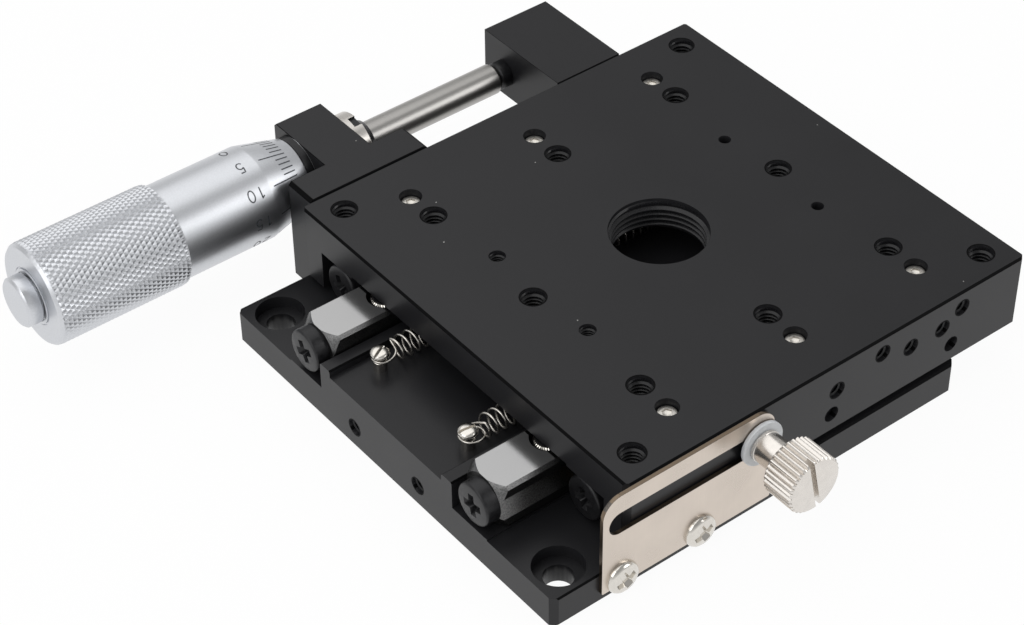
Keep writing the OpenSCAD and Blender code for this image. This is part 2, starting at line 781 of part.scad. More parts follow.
// Set screws that press the front outer rail against its rollers
module preload_set_screws() {
    color(screw_black) for (x = rail_screw_x) translate([table_shift + x, -outer_back, set_screw_z])
        rotate([90, 0, 0]) difference() {
            cylinder(d = small_tap_d, h = set_screw_len);
            translate([0, 0, set_screw_len / 2]) cylinder(d = small_tap_d / 2, h = set_screw_len, $fn = 6);
        }
}

// Roller cages and rollers

roller_places = [for (i = [0:roller_count - 1]) (i - (roller_count - 1) / 2) * roller_pitch];
cage_half = roller_count * roller_pitch / 2 - roller_pitch / 2 + roller_d / 2 + cage_end;
window_half = roller_d / 2 - roller_fit + window_gap;
// Half the height at which a roller on its corner passes the plate
window_tall = roller_d / 2 * sqrt(2) + window_gap;

module roller_cage_rear() {
    color(brass) difference() {
        block([cage_shift - cage_half, roller_y - cage_t / 2, roller_z - cage_h / 2],
            [cage_shift + cage_half, roller_y + cage_t / 2, roller_z + cage_h / 2]);
        for (x = roller_places)
            block([cage_shift + x - window_half, roller_y - cage_t, roller_z - window_tall],
                [cage_shift + x + window_half, roller_y + cage_t, roller_z + window_tall]);
    }
}

module roller_cage_front() {
    mirror([0, 1, 0]) roller_cage_rear();
}

roller_r = roller_d / 2 - roller_fit;
roller_half = roller_d / 2 - roller_end_gap;
roller_edge = roller_d * roller_edge_share;
roller_half_outline = [
    [0, -roller_half], [roller_r - roller_edge, -roller_half], [roller_r, -roller_half + roller_edge],
    [roller_r, roller_half - roller_edge], [roller_r - roller_edge, roller_half], [0, roller_half]
];

// Each roller lies across the one before it
module rollers_rear() {
    color(steel) for (i = [0:roller_count - 1])
        translate([cage_shift + roller_places[i], roller_y, roller_z])
            rotate([i % 2 == 0 ? 45 : -45, 0, 0]) rotate_extrude() polygon(roller_half_outline);
}

module rollers_front() {
    mirror([0, 1, 0]) rollers_rear();
}

// Springs and their posts

// A post that stands on z = 0, with its neck at the height of the spring's axis
module spring_post(neck_z, height, thread_len) {
    neck_low = neck_z - wire_d / 2 - hook_gap;
    head_low = height - post_head_h;
    width = post_head_d * slot_width_share;
    color(chrome) difference() {
        rotate_extrude() polygon([
            [0, -thread_len], [post_thread_d / 2, -thread_len], [post_thread_d / 2, 0], [post_d / 2, 0],
            [post_d / 2, neck_low], [neck_d / 2, neck_low], [neck_d / 2, head_low],
            [post_head_d / 2, head_low], [post_head_d / 2, height], [0, height]
        ]);
        block([-post_head_d, -width, height - post_head_h * slot_depth_share],
            [post_head_d, width, height + over]);
    }
}

module base_spring_posts() {
    at_both_sides() translate([-base_post_x, spring_y, channel_floor])
        spring_post(spring_lift, ceiling - channel_floor - post_clear, post_thread_len - thread_end_gap);
}

module table_spring_posts() {
    at_both_sides() translate([table_shift + table_post_x, spring_y, ceiling]) rotate([180, 0, 0])
        spring_post(ceiling - spring_z, ceiling - channel_floor - post_clear, post_thread_len);
}

function unit(v) = v / norm(v);

function headings(path) = [
    for (i = [0:len(path) - 1]) unit(path[min(i + 1, len(path) - 1)] - path[max(i - 1, 0)])
];

function square_to(side, heading) = unit(side - (side * heading) * heading);

// A side direction for each heading, carried along the path without twist
function sides_of(heading) = [
    for (i = 0, side = square_to([0, 0, 1], heading[0]); i < len(heading);
        i = i + 1, side = i < len(heading) ? square_to(side, heading[i]) : side) side
];

// A tube with six sides along a path
module tube(path, d) {
    heading = headings(path);
    side = sides_of(heading);
    n = 6;
    last = len(path) - 1;
    points = [for (i = [0:last], k = [0:n - 1])
        path[i] + d / 2 * (cos(360 * k / n) * side[i] + sin(360 * k / n) * cross(heading[i], side[i]))];
    walls = [for (i = [0:last - 1], k = [0:n - 1], half = [0, 1])
        let (a = i * n + k, b = i * n + (k + 1) % n)
            half == 0 ? [a, a + n, b] : [b, a + n, b + n]];
    ends = [for (k = [1:n - 2], e = [0, 1])
        e == 0 ? [0, k, k + 1] : [last * n, last * n + k + 1, last * n + k]];
    polyhedron(points, concat(walls, ends));
}

// The base hook runs backwards round its post and leaves it along +X
hook_rings = 12;
hook_turn = 260;
bend_r = coil_r / 3;
bend_angle = asin(bend_r / coil_r);
base_hook = [
    for (i = [0:hook_rings]) let (a = 90 + hook_turn * (1 - i / hook_rings)) hook_r * [cos(a), sin(a), 0]
];
hook_start = base_hook[0];
hook_side = unit([hook_start[1], -hook_start[0], 0]);

// The coil starts and ends a little inside full turns, where the bends from the hooks meet it
coil_first = bend_angle;
coil_last = 360 * coil_turns - bend_angle;
coil_rings = 8 * coil_turns;
bend_y = coil_r * cos(bend_angle);
coil_start = coil_lead + bend_angle / 360 * coil_pitch;
coil_end = coil_lead + coil_last / 360 * coil_pitch;
coil = [
    for (i = [0:coil_rings]) let (a = coil_first + (coil_last - coil_first) * i / coil_rings)
        [coil_lead + a / 360 * coil_pitch, coil_r * cos(a), coil_r * sin(a)]
];
lead_bend = [for (a = [0, 45]) [coil_start - bend_r + bend_r * sin(a), bend_y, bend_r * (1 - cos(a))]];
end_bend = [for (a = [45, 0]) [coil_end + bend_r - bend_r * sin(a), bend_y, -bend_r * (1 - cos(a))]];
table_hook = [for (i = [hook_rings:-1:0]) [spring_span - base_hook[i][0], base_hook[i][1], 0]];
table_hook_side = [-hook_side[0], hook_side[1], 0];

spring_path = concat(
    [hook_start - wire_d * hook_side], base_hook, lead_bend, coil, end_bend, table_hook,
    [table_hook[hook_rings] - wire_d * table_hook_side]
);

// The least distance between stretches of the wire that are half a coil or more apart
function least_gap(path, apart) = min([
    for (i = [0:len(path) - 1 - apart]) min([for (j = [i + apart:len(path) - 1]) norm(path[i] - path[j])])
]);
echo(spring_least_gap = least_gap(spring_path, 5) - wire_d);

module spring_rear() {
    color(steel) translate([-base_post_x, spring_y, spring_z]) tube(spring_path, wire_d);
}

module spring_front() {
    mirror([0, 1, 0]) spring_rear();
}

// Micrometer bracket and anvil

module micrometer_bracket() {
    color(plate_black) difference() {
        union() {
            translate([0, half_w, 0]) along_y(bracket_t, cut_corners(-bracket_x - bracket_len, bracket_low,
                -bracket_x, table_top, bracket_edge));
            translate([lug_left, 0, 0]) along_x(lug_len, [
                [half_w + bracket_t / 2, mic_z - lug_wall], [mic_y + lug_wall - bracket_edge, mic_z - lug_wall],
                [mic_y + lug_wall, mic_z - lug_wall + bracket_edge], [mic_y + lug_wall, table_top - bracket_edge],
                [mic_y + lug_wall - bracket_edge, table_top], [half_w + bracket_t / 2, table_top]
            ]);
        }
        translate([lug_left - over, mic_y, mic_z]) rod_x(stem_r + seat_fit, lug_len + 2 * over);
        for (x = bracket_screws_x) translate([x, half_w, side_screw_z]) {
            translate([0, -over, 0]) rod_y(small_tap_d / 2 + side_hole_gap, bracket_t + 2 * over);
            translate([0, bracket_t - side_bore_depth, 0]) rod_y(side_bore_r, side_bore_depth + over);
        }
    }
}

module bracket_screws() {
    color(screw_black) for (x = bracket_screws_x)
        translate([x, half_w + bracket_t - side_bore_depth, side_screw_z]) rotate([-90, 0, 0])
            cap_screw(small_tap_d, bracket_t - side_bore_depth + side_thread_len - thread_end_gap,
                2 * side_bore_r - side_hole_gap, side_bore_depth - side_hole_gap);
}

module anvil_block() {
    color(plate_black) difference() {
        intersection() {
            translate([anvil_left, 0, 0]) along_x(anvil_len, [
                [table_half_w, anvil_low], [anvil_out - bracket_edge, anvil_low], [anvil_out, anvil_low + bracket_edge],
                [anvil_out, table_top - bracket_edge], [anvil_out - bracket_edge, table_top], [table_half_w, table_top]
            ]);
            translate([0, 0, anvil_low]) linear_extrude(anvil_h) polygon([
                [anvil_left, table_half_w], [anvil_right, table_half_w], [anvil_right, anvil_out - bracket_edge],
                [anvil_right - bracket_edge, anvil_out], [anvil_left + bracket_edge, anvil_out],
                [anvil_left, anvil_out - bracket_edge]
            ]);
        }
        translate([anvil_left - over, mic_y, mic_z]) rod_x(pin_stem_r + seat_fit, pin_stem_len + 2 * over);
        for (x = anvil_screws) translate([x, table_half_w, anvil_screw_z]) {
            translate([0, -over, 0]) rod_y(anvil_screw_d / 2 + side_hole_gap / 2, anvil_out);
            translate([0, anvil_out - table_half_w - anvil_bore_depth, 0])
                rod_y(anvil_screw_d + side_hole_gap, anvil_bore_depth + over);
        }
    }
}

module anvil_pin() {
    color(screw_black) translate([0, mic_y, mic_z]) turned_x([
        [0, anvil_left - pin_out], [pin_r - pin_edge, anvil_left - pin_out], [pin_r, anvil_left - pin_out + pin_edge],
        [pin_r, anvil_left], [pin_stem_r, anvil_left], [pin_stem_r, anvil_left + pin_stem_len],
        [0, anvil_left + pin_stem_len]
    ]);
}

module anvil_block_screws() {
    color(screw_black) for (x = anvil_screws)
        translate([x, anvil_out - anvil_bore_depth, anvil_screw_z]) rotate([-90, 0, 0])
            cap_screw(anvil_screw_d, anvil_out - anvil_bore_depth - table_half_w + anvil_thread_len - thread_end_gap,
                2 * anvil_screw_d - side_hole_gap, anvil_bore_depth - side_hole_gap);
}

// Micrometer

module micrometer_sleeve() {
    color(steel) translate([0, mic_y, mic_z]) turned_x([
        [spindle_r + run_fit, sleeve_rear], [sleeve_r - sleeve_edge, sleeve_rear],
        [sleeve_r, sleeve_rear + sleeve_edge], [sleeve_r, lug_left], [stem_r, lug_left],
        [stem_r, stem_end], [spindle_r + run_fit, stem_end]
    ]);
}

module clamp_nut() {
    color(chrome) translate([0, mic_y, mic_z]) difference() {
        turned_x([
            [stem_r + seat_fit, lug_right], [nut_r, lug_right], [nut_r, lug_right + nut_len],
            [nut_nose_r, nut_nose], [spindle_r + face_gap, nut_nose],
            [spindle_r + face_gap, lug_right + nut_len], [stem_r + seat_fit, lug_right + nut_len]
        ]);
        for (a = [0:90:270]) rotate([a, 0, 0])
            block([lug_right - over, -nut_slot_w / 2, nut_r - nut_slot_depth],
                [lug_right + nut_len, nut_slot_w / 2, nut_r + over]);
    }
}

module spindle() {
    color(steel) translate([0, mic_y, mic_z]) turned_x([
        [0, cap_front - cap_t + face_gap], [journal_r, cap_front - cap_t + face_gap],
        [journal_r, cap_front + face_gap], [spindle_r, cap_front + face_gap],
        [spindle_r, spindle_tip - spindle_chamfer], [spindle_r - spindle_chamfer, spindle_tip], [0, spindle_tip]
    ]);
}

module thimble() {
    color(rail_grey) translate([0, mic_y, mic_z]) turned_x([
        [sleeve_r + run_fit, thimble_front], [thimble_front_r, thimble_front], [thimble_r, bevel_end],
        [thimble_r, grip_front + (grip_r - thimble_r)], [grip_r, grip_front],
        [grip_r, grip_rear + grip_chamfer], [grip_r - grip_chamfer, grip_rear],
        [cap_r, grip_rear], [cap_r, cap_front], [sleeve_r + run_fit, cap_front]
    ]);
}

module thimble_end_cap() {
    color(rail_grey) translate([0, mic_y, mic_z]) turned_x([
        [journal_r + run_fit, cap_front], [cap_r - seat_fit, cap_front], [cap_r - seat_fit, grip_rear],
        [journal_r + run_fit, grip_rear]
    ]);
}

module thimble_knob() {
    color(steel) translate([0, mic_y, mic_z]) turned_x([
        [0, grip_rear], [knob_groove_r, grip_rear], [knob_groove_r, grip_rear - knob_groove_len],
        [knob_r, grip_rear - knob_groove_len], [knob_r, grip_rear - knob_len + knob_edge],
        [knob_r - knob_edge, grip_rear - knob_len], [0, grip_rear - knob_len]
    ]);
}

// Lock plate and lock screw

module lock_plate() {
    right = lock_plate_left + lock_len;
    color(nickel) translate([0, -plate_face, 0]) difference() {
        union() {
            along_y(lock_t, cut_corners(lock_plate_left, lock_low, right, table_top - lock_corner, lock_edge));
            along_y(lock_t, [
                [lock_plate_left + lock_corner, lock_low + lock_edge], [right - lock_corner, lock_low + lock_edge],
                [right - lock_corner, table_top], [lock_plate_left + lock_corner, table_top]
            ]);
            along_y(lock_t, [
                [lock_plate_left, lock_low + lock_edge], [right, lock_low + lock_edge],
                [right, table_top - lock_corner], [lock_plate_left, table_top - lock_corner]
            ]);
            for (x = [lock_plate_left + lock_corner, right - lock_corner])
                translate([x, 0, table_top - lock_corner]) rod_y(lock_corner, lock_t);
        }
        translate([0, -over, 0]) {
            for (side = [-1, 1]) translate([-lock_x + side * (slot_half - slot_w / 2), 0, slot_z])
                rod_y(slot_w / 2, lock_t + 2 * over);
            block([-lock_x - slot_half + slot_w / 2, 0, slot_z - slot_w / 2],
                [-lock_x + slot_half - slot_w / 2, lock_t + 2 * over, slot_z + slot_w / 2]);
            for (x = lock_screws_x) translate([x, 0, side_screw_z])
                rod_y(small_tap_d / 2 + side_hole_gap / 2, lock_t + 2 * over);
        }
    }
}

module lock_plate_screws() {
    color(steel) for (x = lock_screws_x) translate([x, -plate_face, side_screw_z]) rotate([90, 0, 0])
        cross_screw(small_tap_d, lock_t + side_thread_len - thread_end_gap, pan_head_r, pan_head_h);
}

module lock_washer() {
    color("white") translate([lock_screw_x, 0, slot_z]) turned_y([
        [lock_screw_d / 2 + washer_gap, -washer_face], [washer_r, -washer_face],
        [washer_r, -washer_face + washer_t], [lock_screw_d / 2 + washer_gap, -washer_face + washer_t]
    ]);
}

module lock_screw() {
    thread_r = lock_screw_d / 2 - run_fit;
    tooth_r = lock_head_r - lock_tooth_depth;
    color(steel) translate([lock_screw_x, 0, slot_z]) {
        difference() {
            union() {
                turned_y([
                    [0, -head_rear - lock_head_chamfer], [lock_neck_r, -head_rear - lock_head_chamfer], [lock_neck_r, -neck_rear],
                    [thread_r, -neck_rear], [thread_r, -table_half_w + lock_thread_depth - thread_end_gap],
                    [0, -table_half_w + lock_thread_depth - thread_end_gap]
                ]);
                intersection() {
                    translate([0, -head_face, 0]) rotate([-90, 0, 0]) linear_extrude(lock_head_len)
                        polygon([for (i = [0:2 * lock_teeth - 1])
                            (i % 2 == 0 ? lock_head_r : tooth_r)
                            * [cos(180 * i / lock_teeth), sin(180 * i / lock_teeth)]]);
                    // The cones run on past the teeth, so that only they cut them
                    turned_y([
                        [0, -head_face], [lock_head_r - lock_head_chamfer, -head_face],
                        [lock_head_r + over, -head_face + lock_head_chamfer + over],
                        [lock_head_r + over, -head_rear - lock_head_chamfer - over],
                        [lock_head_r - lock_head_chamfer, -head_rear], [0, -head_rear]
                    ]);
                }
            }
            block([-lock_slot_w / 2, -head_face - over, -lock_head_r - over],
                [lock_slot_w / 2, -head_face + lock_slot_depth, lock_head_r + over]);
        }
    }
}

base_plate();
inner_rail_front();
inner_rail_rear();
inner_rail_screws();
inner_rail_end_screws();
base_spring_posts();
micrometer_bracket();
bracket_screws();
micrometer_sleeve();
clamp_nut();
lock_plate();
lock_plate_screws();
table_plate();
outer_rail_front();
outer_rail_rear();
outer_rail_screws();
outer_rail_end_screws();
preload_set_screws();
table_spring_posts();
anvil_block();
anvil_pin();
anvil_block_screws();
roller_cage_front();
roller_cage_rear();
rollers_front();
rollers_rear();
spindle();
thimble();
thimble_end_cap();
thimble_knob();
lock_washer();
lock_screw();
spring_front();
spring_rear();
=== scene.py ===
"""Looks of a manual linear stage: finishes for its solids, and the pieces too fine for them."""

import json
import math

import bmesh
import bpy
from bpy.props import FloatProperty, FloatVectorProperty, IntProperty, PointerProperty
from mathutils import Matrix, Vector


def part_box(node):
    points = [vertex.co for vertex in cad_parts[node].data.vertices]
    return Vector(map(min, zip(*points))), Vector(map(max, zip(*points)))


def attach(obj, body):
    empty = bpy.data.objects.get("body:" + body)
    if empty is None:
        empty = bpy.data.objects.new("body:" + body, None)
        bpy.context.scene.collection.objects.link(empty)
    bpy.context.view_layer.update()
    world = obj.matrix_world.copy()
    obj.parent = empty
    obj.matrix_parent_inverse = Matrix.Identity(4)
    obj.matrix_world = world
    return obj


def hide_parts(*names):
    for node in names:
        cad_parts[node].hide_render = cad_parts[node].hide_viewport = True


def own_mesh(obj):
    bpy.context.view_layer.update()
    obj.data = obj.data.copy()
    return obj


bl_info = {
    "name": "Manual linear stage",
    "version": (1, 0, 0),
    "blender": (4, 5, 0),
    "location": "3D View > Sidebar > Stage",
    "description": "Dresses the solids of a manual linear stage and sets it in a studio",
    "category": "Object",
}

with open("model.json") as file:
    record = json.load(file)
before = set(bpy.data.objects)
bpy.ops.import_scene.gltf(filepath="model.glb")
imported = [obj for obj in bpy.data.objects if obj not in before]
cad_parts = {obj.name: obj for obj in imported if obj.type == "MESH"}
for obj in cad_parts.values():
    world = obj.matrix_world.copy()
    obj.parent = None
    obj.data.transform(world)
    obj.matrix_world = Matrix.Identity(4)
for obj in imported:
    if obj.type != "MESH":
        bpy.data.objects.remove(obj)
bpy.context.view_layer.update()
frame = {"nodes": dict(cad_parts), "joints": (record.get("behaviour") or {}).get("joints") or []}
NODES = frame["nodes"]

MM = 0.001
# Paint in engraved lines and the painted shade on the rims of holes are skins this far proud of the metal, so that they
# show
PROUD = 0.012 * MM
# Points closer than this are one point, in millimetres
SAME_POINT = 0.0005


def box(node):
    """Lowest and highest corner of a solid, in metres."""
    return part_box(node)


def middle(node):
    """Centre of a solid's box."""
    low, high = box(node)
    return (low + high) / 2


def linear(code):
    """An sRGB hex colour as the linear colour that Blender works with."""
    channels = [int(code[i : i + 2], 16) / 255 for i in (1, 3, 5)]
    return tuple(c / 12.92 if c <= 0.04045 else ((c + 0.055) / 1.055) ** 2.4 for c in channels)


def travel(joint_name):
    """How far a sliding joint moves from rest, in metres."""
    joint = next(joint for joint in frame["joints"] if joint["name"] == joint_name)
    return max(abs(limit) for limit in joint["range_m"])


# Places that every group needs, read from the solids
TABLE_LOW, TABLE_HIGH = box("table_plate")
TABLE_MIDDLE = (TABLE_LOW + TABLE_HIGH) / 2
BASE_LOW, BASE_HIGH = box("base_plate")
SPINDLE_AXIS = middle("spindle")
THIMBLE_LOW, THIMBLE_HIGH = box("thimble")


def length(name, description, default, low, high):
    """A length in millimetres as a property in metres."""
    return FloatProperty(
        name=name, description=description, default=default * MM, min=low * MM, max=high * MM,
        precision=5, subtype="DISTANCE", unit="LENGTH",
    )


def whole_number(name, description, default, low, high):
    """A whole number as a property."""
    return IntProperty(name=name, description=description, default=default, min=low, max=high)


def proportion(name, description, default, low, high):
    """A share of another size as a property."""
    return FloatProperty(name=name, description=description, default=default, min=low, max=high, subtype="FACTOR")


def colour(name, description, code):
    """A colour property from an sRGB hex code."""
    return FloatVectorProperty(
        name=name, description=description, default=linear(code), min=0, max=1, size=3, subtype="COLOR"
    )


class StageThreads(bpy.types.PropertyGroup):
    """Tapped holes"""

    grid_inset: length("Grid inset", "From the table's sides to its inner ring of holes", 22.5, 20, 25)
    corner_inset: length("Corner inset", "From the table's sides to its corner holes", 7.5, 6, 10)
    small_x: length("Small holes along", "From the table's middle to its small holes, along the travel", 35, 30, 38)
    small_y: length("Small holes across", "From the table's middle to its small holes, across the travel", 16.4, 14, 18)
    grid_radius: length("Grid hole radius", "Outer radius of the threads in the grid of holes", 3, 2, 3.2)
    grid_pitch: length("Grid pitch", "From turn to turn in the grid of holes", 1, 0.5, 1.25)
    grid_depth: length("Grid depth", "Depth of the grid's holes", 7.5, 4, 8)
    small_radius: length("Small hole radius", "Outer radius of the threads in the small holes", 2, 1.5, 2.5)
    small_pitch: length("Small pitch", "From turn to turn in the small holes", 0.7, 0.5, 0.8)
    side_depth: length("Side depth", "Depth of the holes in the table's side", 6, 3, 8)
    end_depth: length("End depth", "Depth of the holes in the base plate's ends", 9, 3, 12)
    centre_radius: length("Centre radius", "Outer radius of the thread in the middle", 12, 10, 13)
    centre_pitch: length("Centre pitch", "From turn to turn of the thread in the middle", 1.5, 0.75, 2)
    sink: length("Countersink", "Width of the dark rim round a tapped hole", 0.32, 0.1, 0.6)
    mouth: length("Mouth", "Depth of the plain lip above a thread", 0.5, 0.1, 1)


class StageThimble(bpy.types.PropertyGroup):
    """Thimble with its grip and scale"""

    front_radius: length("Front radius", "Radius of the front edge", 9.35, 9, 10)
    smooth_radius: length("Smooth radius", "Radius of the smooth part", 12.15, 11, 13)
    grip_radius: length("Grip radius", "Radius over the knurl's points", 13.1, 12, 14)
    bevel: length("Bevel", "Length of the bevel that carries the scale", 11.5, 8, 14)
    smooth: length("Smooth part", "Length of the smooth part", 25.4, 20, 32)
    chamfer: length("Chamfer", "Chamfer at the rear end", 0.8, 0.3, 1.5)
    bore_radius: length("Bore", "Radius of the bore", 9.05, 8, 9.2)
    cap: length("Cap", "Thickness of the end behind the bore", 5, 3, 6)
    collar_radius: length("Collar radius", "Radius of the collar under the knob", 7.1, 6.5, 8)
    collar: length("Collar", "Height of the collar under the knob", 0.35, 0.1, 0.5)
    knurl_pitch: length("Knurl pitch", "From diamond to diamond along the grip", 2.4, 1.2, 3)
    knurl_round: whole_number("Diamonds", "Diamonds round the grip", 59, 30, 90)
    knurl_depth: length("Knurl depth", "Depth of the knurl", 0.3, 0.1, 0.5)
    divisions: whole_number("Divisions", "Lines round the scale", 50, 10, 100)
    mark_start: length("Mark start", "From the front edge to the lines", 3, 1, 5)
    short_mark: length("Short mark", "Length of a line", 3.5, 2, 6)
    long_mark: length("Long mark", "Length of every fifth line", 7.7, 4, 9)
    mark_width: length("Mark width", "Width of a line", 0.32, 0.1, 0.4)
    digit_start: length("Digit start", "From the front edge to the middle of the numbers", 15.8, 12, 16)
    digit_height: length("Digit height", "Height of the numbers", 2.9, 1.5, 4)
    digit_advance: length("Digit advance", "From digit to digit of a number", 2.7, 2, 3.5)
    digit_stroke: length("Digit stroke", "Width of the strokes of the numbers", 0.34, 0.1, 0.5)
    sleeve_short: length("Sleeve short mark", "Length of a line on the sleeve", 1.6, 1, 3)
    sleeve_long: length("Sleeve long mark", "Length of every fifth line on the sleeve", 2.6, 2, 4)
    sleeve_width: length("Sleeve mark width", "Width of a line on the sleeve", 0.2, 0.1, 0.3)
    sleeve_digits: length("Sleeve numbers", "Height of the numbers on the sleeve", 1.9, 1, 3)
    sleeve_offset: length("Sleeve number offset", "From the sleeve's long line to the middle of its numbers", 4.2, 3, 6)
    first_angle: FloatProperty(
        name="First number", description="Angle of the number 0 about the axis, from the side to the top",
        default=math.radians(70), min=0, max=math.tau, subtype="ANGLE",
    )


class StageSprings(bpy.types.PropertyGroup):
    """Springs"""

    wire: length("Wire", "Diameter of the wire", 0.6, 0.4, 0.7)
    coil: length("Coil", "Diameter of the coil, between the middles of its wire", 5.4, 4, 6)
    turns: whole_number("Turns", "Number of coils", 38, 20, 60)
    tail: length("Tail", "From the last coil to the post on the table", 11, 5, 15)
    height: length("Height", "Height of the axis over the base plate's underside", 17.95, 17, 18.5)


class StageScrews(bpy.types.PropertyGroup):
    """Screw heads"""

    cross_width: proportion("Cross width", "Width of a cross recess, as a share of the head's radius", 0.29, 0.1, 0.5)
    cross_reach: proportion("Cross reach", "Reach of a cross recess, as a share of the head's radius", 0.68, 0.3, 0.8)
    teeth: whole_number("Teeth", "Teeth round a cap screw's head", 36, 12, 60)
    tooth: length("Tooth depth", "Depth of those teeth", 0.2, 0.05, 0.3)
    socket: length("Socket", "Width of the hexagon sockets in the table's screws", 2.5, 2, 3)
    slot: length("Slot", "Width of the slots in the spring posts", 0.75, 0.5, 1)
    lock_slot: length("Lock slot", "Width of the slot in the lock screw's head", 1.3, 0.8, 2)
    lock_teeth: whole_number("Lock teeth", "Teeth round the lock screw's head", 32, 20, 60)
    lock_tooth: length("Lock tooth depth", "Depth of the lock screw's teeth", 0.72, 0.3, 1)
    neck: length("Neck", "Radius of the spring posts' necks", 1.3, 1.1, 1.5)


class StageColours(bpy.types.PropertyGroup):
    """Colours of the finishes"""

    plate: colour("Plate", "Black anodised plates", "#1c1c1e")
    rail: colour("Rail", "Ground rails", "#a2a2a2")
    chrome: colour("Chrome", "Satin chrome of the thimble", "#d1d3d7")
    spindle: colour("Spindle", "Polished spindle", "#a8a6a3")
    nickel: colour("Nickel", "Nickel plate", "#d3c8bd")
    bright: colour("Bright", "Bright plated screws", "#dad6cf")
    nut: colour("Nut", "Clamp nut", "#cdc9c4")
    black_steel: colour("Black steel", "Black oxide screws", "#1b1b1d")
    wire: colour("Wire", "Spring wire", "#cdc9c2")
    turned: colour("Turned nickel", "Lock screw", "#ddd8d2")
    washer: colour("Washer", "Nylon washer", "#d2d5d8")
    brass: colour("Brass", "Roller cages", "#806a40")
    ink: colour("Ink", "Paint in the lines and numbers", "#2a2c30")
    floor: colour("Floor", "Studio floor", "#f4f4f4")


def settings(group):
    """One of the groups of settings."""
    return getattr(bpy.context.scene, "stage_" + group)


# Materials


def add(tree, kind, values=None, **options):
    """Adds a node; each input, by name or place, is set, or linked where the value is another node's socket."""
    made = tree.nodes.new(kind if "Node" in kind else "ShaderNode" + kind)
    for name, option in options.items():
        setattr(made, name, option)
    for name, value in (values or {}).items():
        if isinstance(value, bpy.types.NodeSocket):
            tree.links.new(value, made.inputs[name])
        else:
            made.inputs[name].default_value = value
    return made


def opaque(rgb):
    """A colour with full alpha."""
    return (*rgb[:3], 1)


def shade(rgb, factor):
    """A lighter or darker version of a colour."""
    return opaque([min(1, channel * factor) for channel in rgb])


def new_material(name):
    """An empty node material and its tree."""
    material = bpy.data.materials.new(name)
    material.use_nodes = True
    material.node_tree.nodes.clear()
    return material, material.node_tree


def speckle(tree, size, detail, stretch=(1, 1, 1)):
    """Noise fixed to the piece, in blotches this many metres wide; a stretch under 1 draws them out along its axis."""
    here = add(tree, "TexCoord").outputs["Object"]
    mapping = add(tree, "Mapping", {"Vector": here, "Scale": stretch})
    noise = add(tree, "TexNoise", {"Vector": mapping.outputs["Vector"], "Scale": 1 / size, "Detail": detail})
    return noise.outputs["Fac"]


def varied(tree, pattern, low, high):
    """What runs from low to high, numbers or colours, as a pattern runs from 0.3 to 0.7, where noise mostly lies."""
    limits = {"Value": pattern, "From Min": 0.3, "From Max": 0.7}
    if isinstance(low, (int, float)):
        return add(tree, "MapRange", {**limits, "To Min": low, "To Max": high}).outputs["Result"]
    factor = add(tree, "MapRange", limits).outputs["Result"]
    # Places 6, 7 and 2 are the colours among this node's sockets
    return add(tree, "Mix", {0: factor, 6: low, 7: high}, data_type="RGBA").outputs[2]


def toned(tree, pattern, rgb, dark, light):
    """A colour that a pattern makes darker and lighter by these factors."""
    return varied(tree, pattern, shade(rgb, dark), shade(rgb, light))


def turned_away(tree, axis, limit):
    """1 on the faces that look along an axis, either way, by less than this share, and 0 on the others."""
    normal = add(tree, "SeparateXYZ", {"Vector": add(tree, "NewGeometry").outputs["True Normal"]})
    along = add(tree, "Math", {0: normal.outputs[axis]}, operation="ABSOLUTE")
    return add(tree, "Math", {0: along.outputs[0], 1: limit}, operation="LESS_THAN").outputs[0]


def finish_surface(tree, values, relief=None, depth=0.0, strength=1.0):
    """The end of a material: its surface, with a pattern as relief this many metres deep."""
    surface = add(tree, "BsdfPrincipled", values)
    if relief is not None:
        bump = add(tree, "Bump", {"Height": relief, "Distance": depth, "Strength": strength})
        tree.links.new(bump.outputs["Normal"], surface.inputs["Normal"])
    add(tree, "OutputMaterial", {"Surface": surface.outputs["BSDF"]})


def anodised_aluminium(rgb):
    """Milled aluminium, bead blasted and anodised black: a dark satin skin with a fine even grain and a soft sheen."""
    material, tree = new_material("anodised_aluminium_black")
    grain = speckle(tree, 0.35 * MM, 3)
    cloud = speckle(tree, 28 * MM, 2)
    tone = toned(tree, cloud, rgb, 0.94, 1.06)
    grained = add(tree, "Mix", {0: varied(tree, grain, 0, 0.5), 6: tone, 7: shade(rgb, 1.25)}, data_type="RGBA")
    # Sparse lint and dust, a third of a millimetre across so that it shows, on the faces that look up:
    # one speck in a third of the cells, which are 7 mm wide
    here = add(tree, "TexCoord").outputs["Object"]
    cells = add(tree, "TexVoronoi", {"Vector": here, "Scale": 1 / (7 * MM)}, feature="F1")
    pick = add(tree, "SeparateColor", {"Color": cells.outputs["Color"]})
    normal = add(tree, "SeparateXYZ", {"Vector": add(tree, "NewGeometry").outputs["Normal"]})
    dust = 1.0
    for value, test, limit in (
        (cells.outputs["Distance"], "LESS_THAN", 0.026),
        (pick.outputs["Red"], "GREATER_THAN", 0.66),
        (normal.outputs["Z"], "GREATER_THAN", 0.9),
    ):
        passed = add(tree, "Math", {0: value, 1: limit}, operation=test)
        dust = add(tree, "Math", {0: dust, 1: passed.outputs[0]}, operation="MULTIPLY").outputs[0]
    finish_surface(tree, {
        "Base Color": varied(tree, dust, grained.outputs[2], opaque(linear("#a9a9a6"))),
        "Metallic": 0.0,
        "Roughness": varied(tree, cloud, 0.33, 0.38),
        "Specular IOR Level": 0.28,
    }, grain, 0.006 * MM, 0.6)
    return material


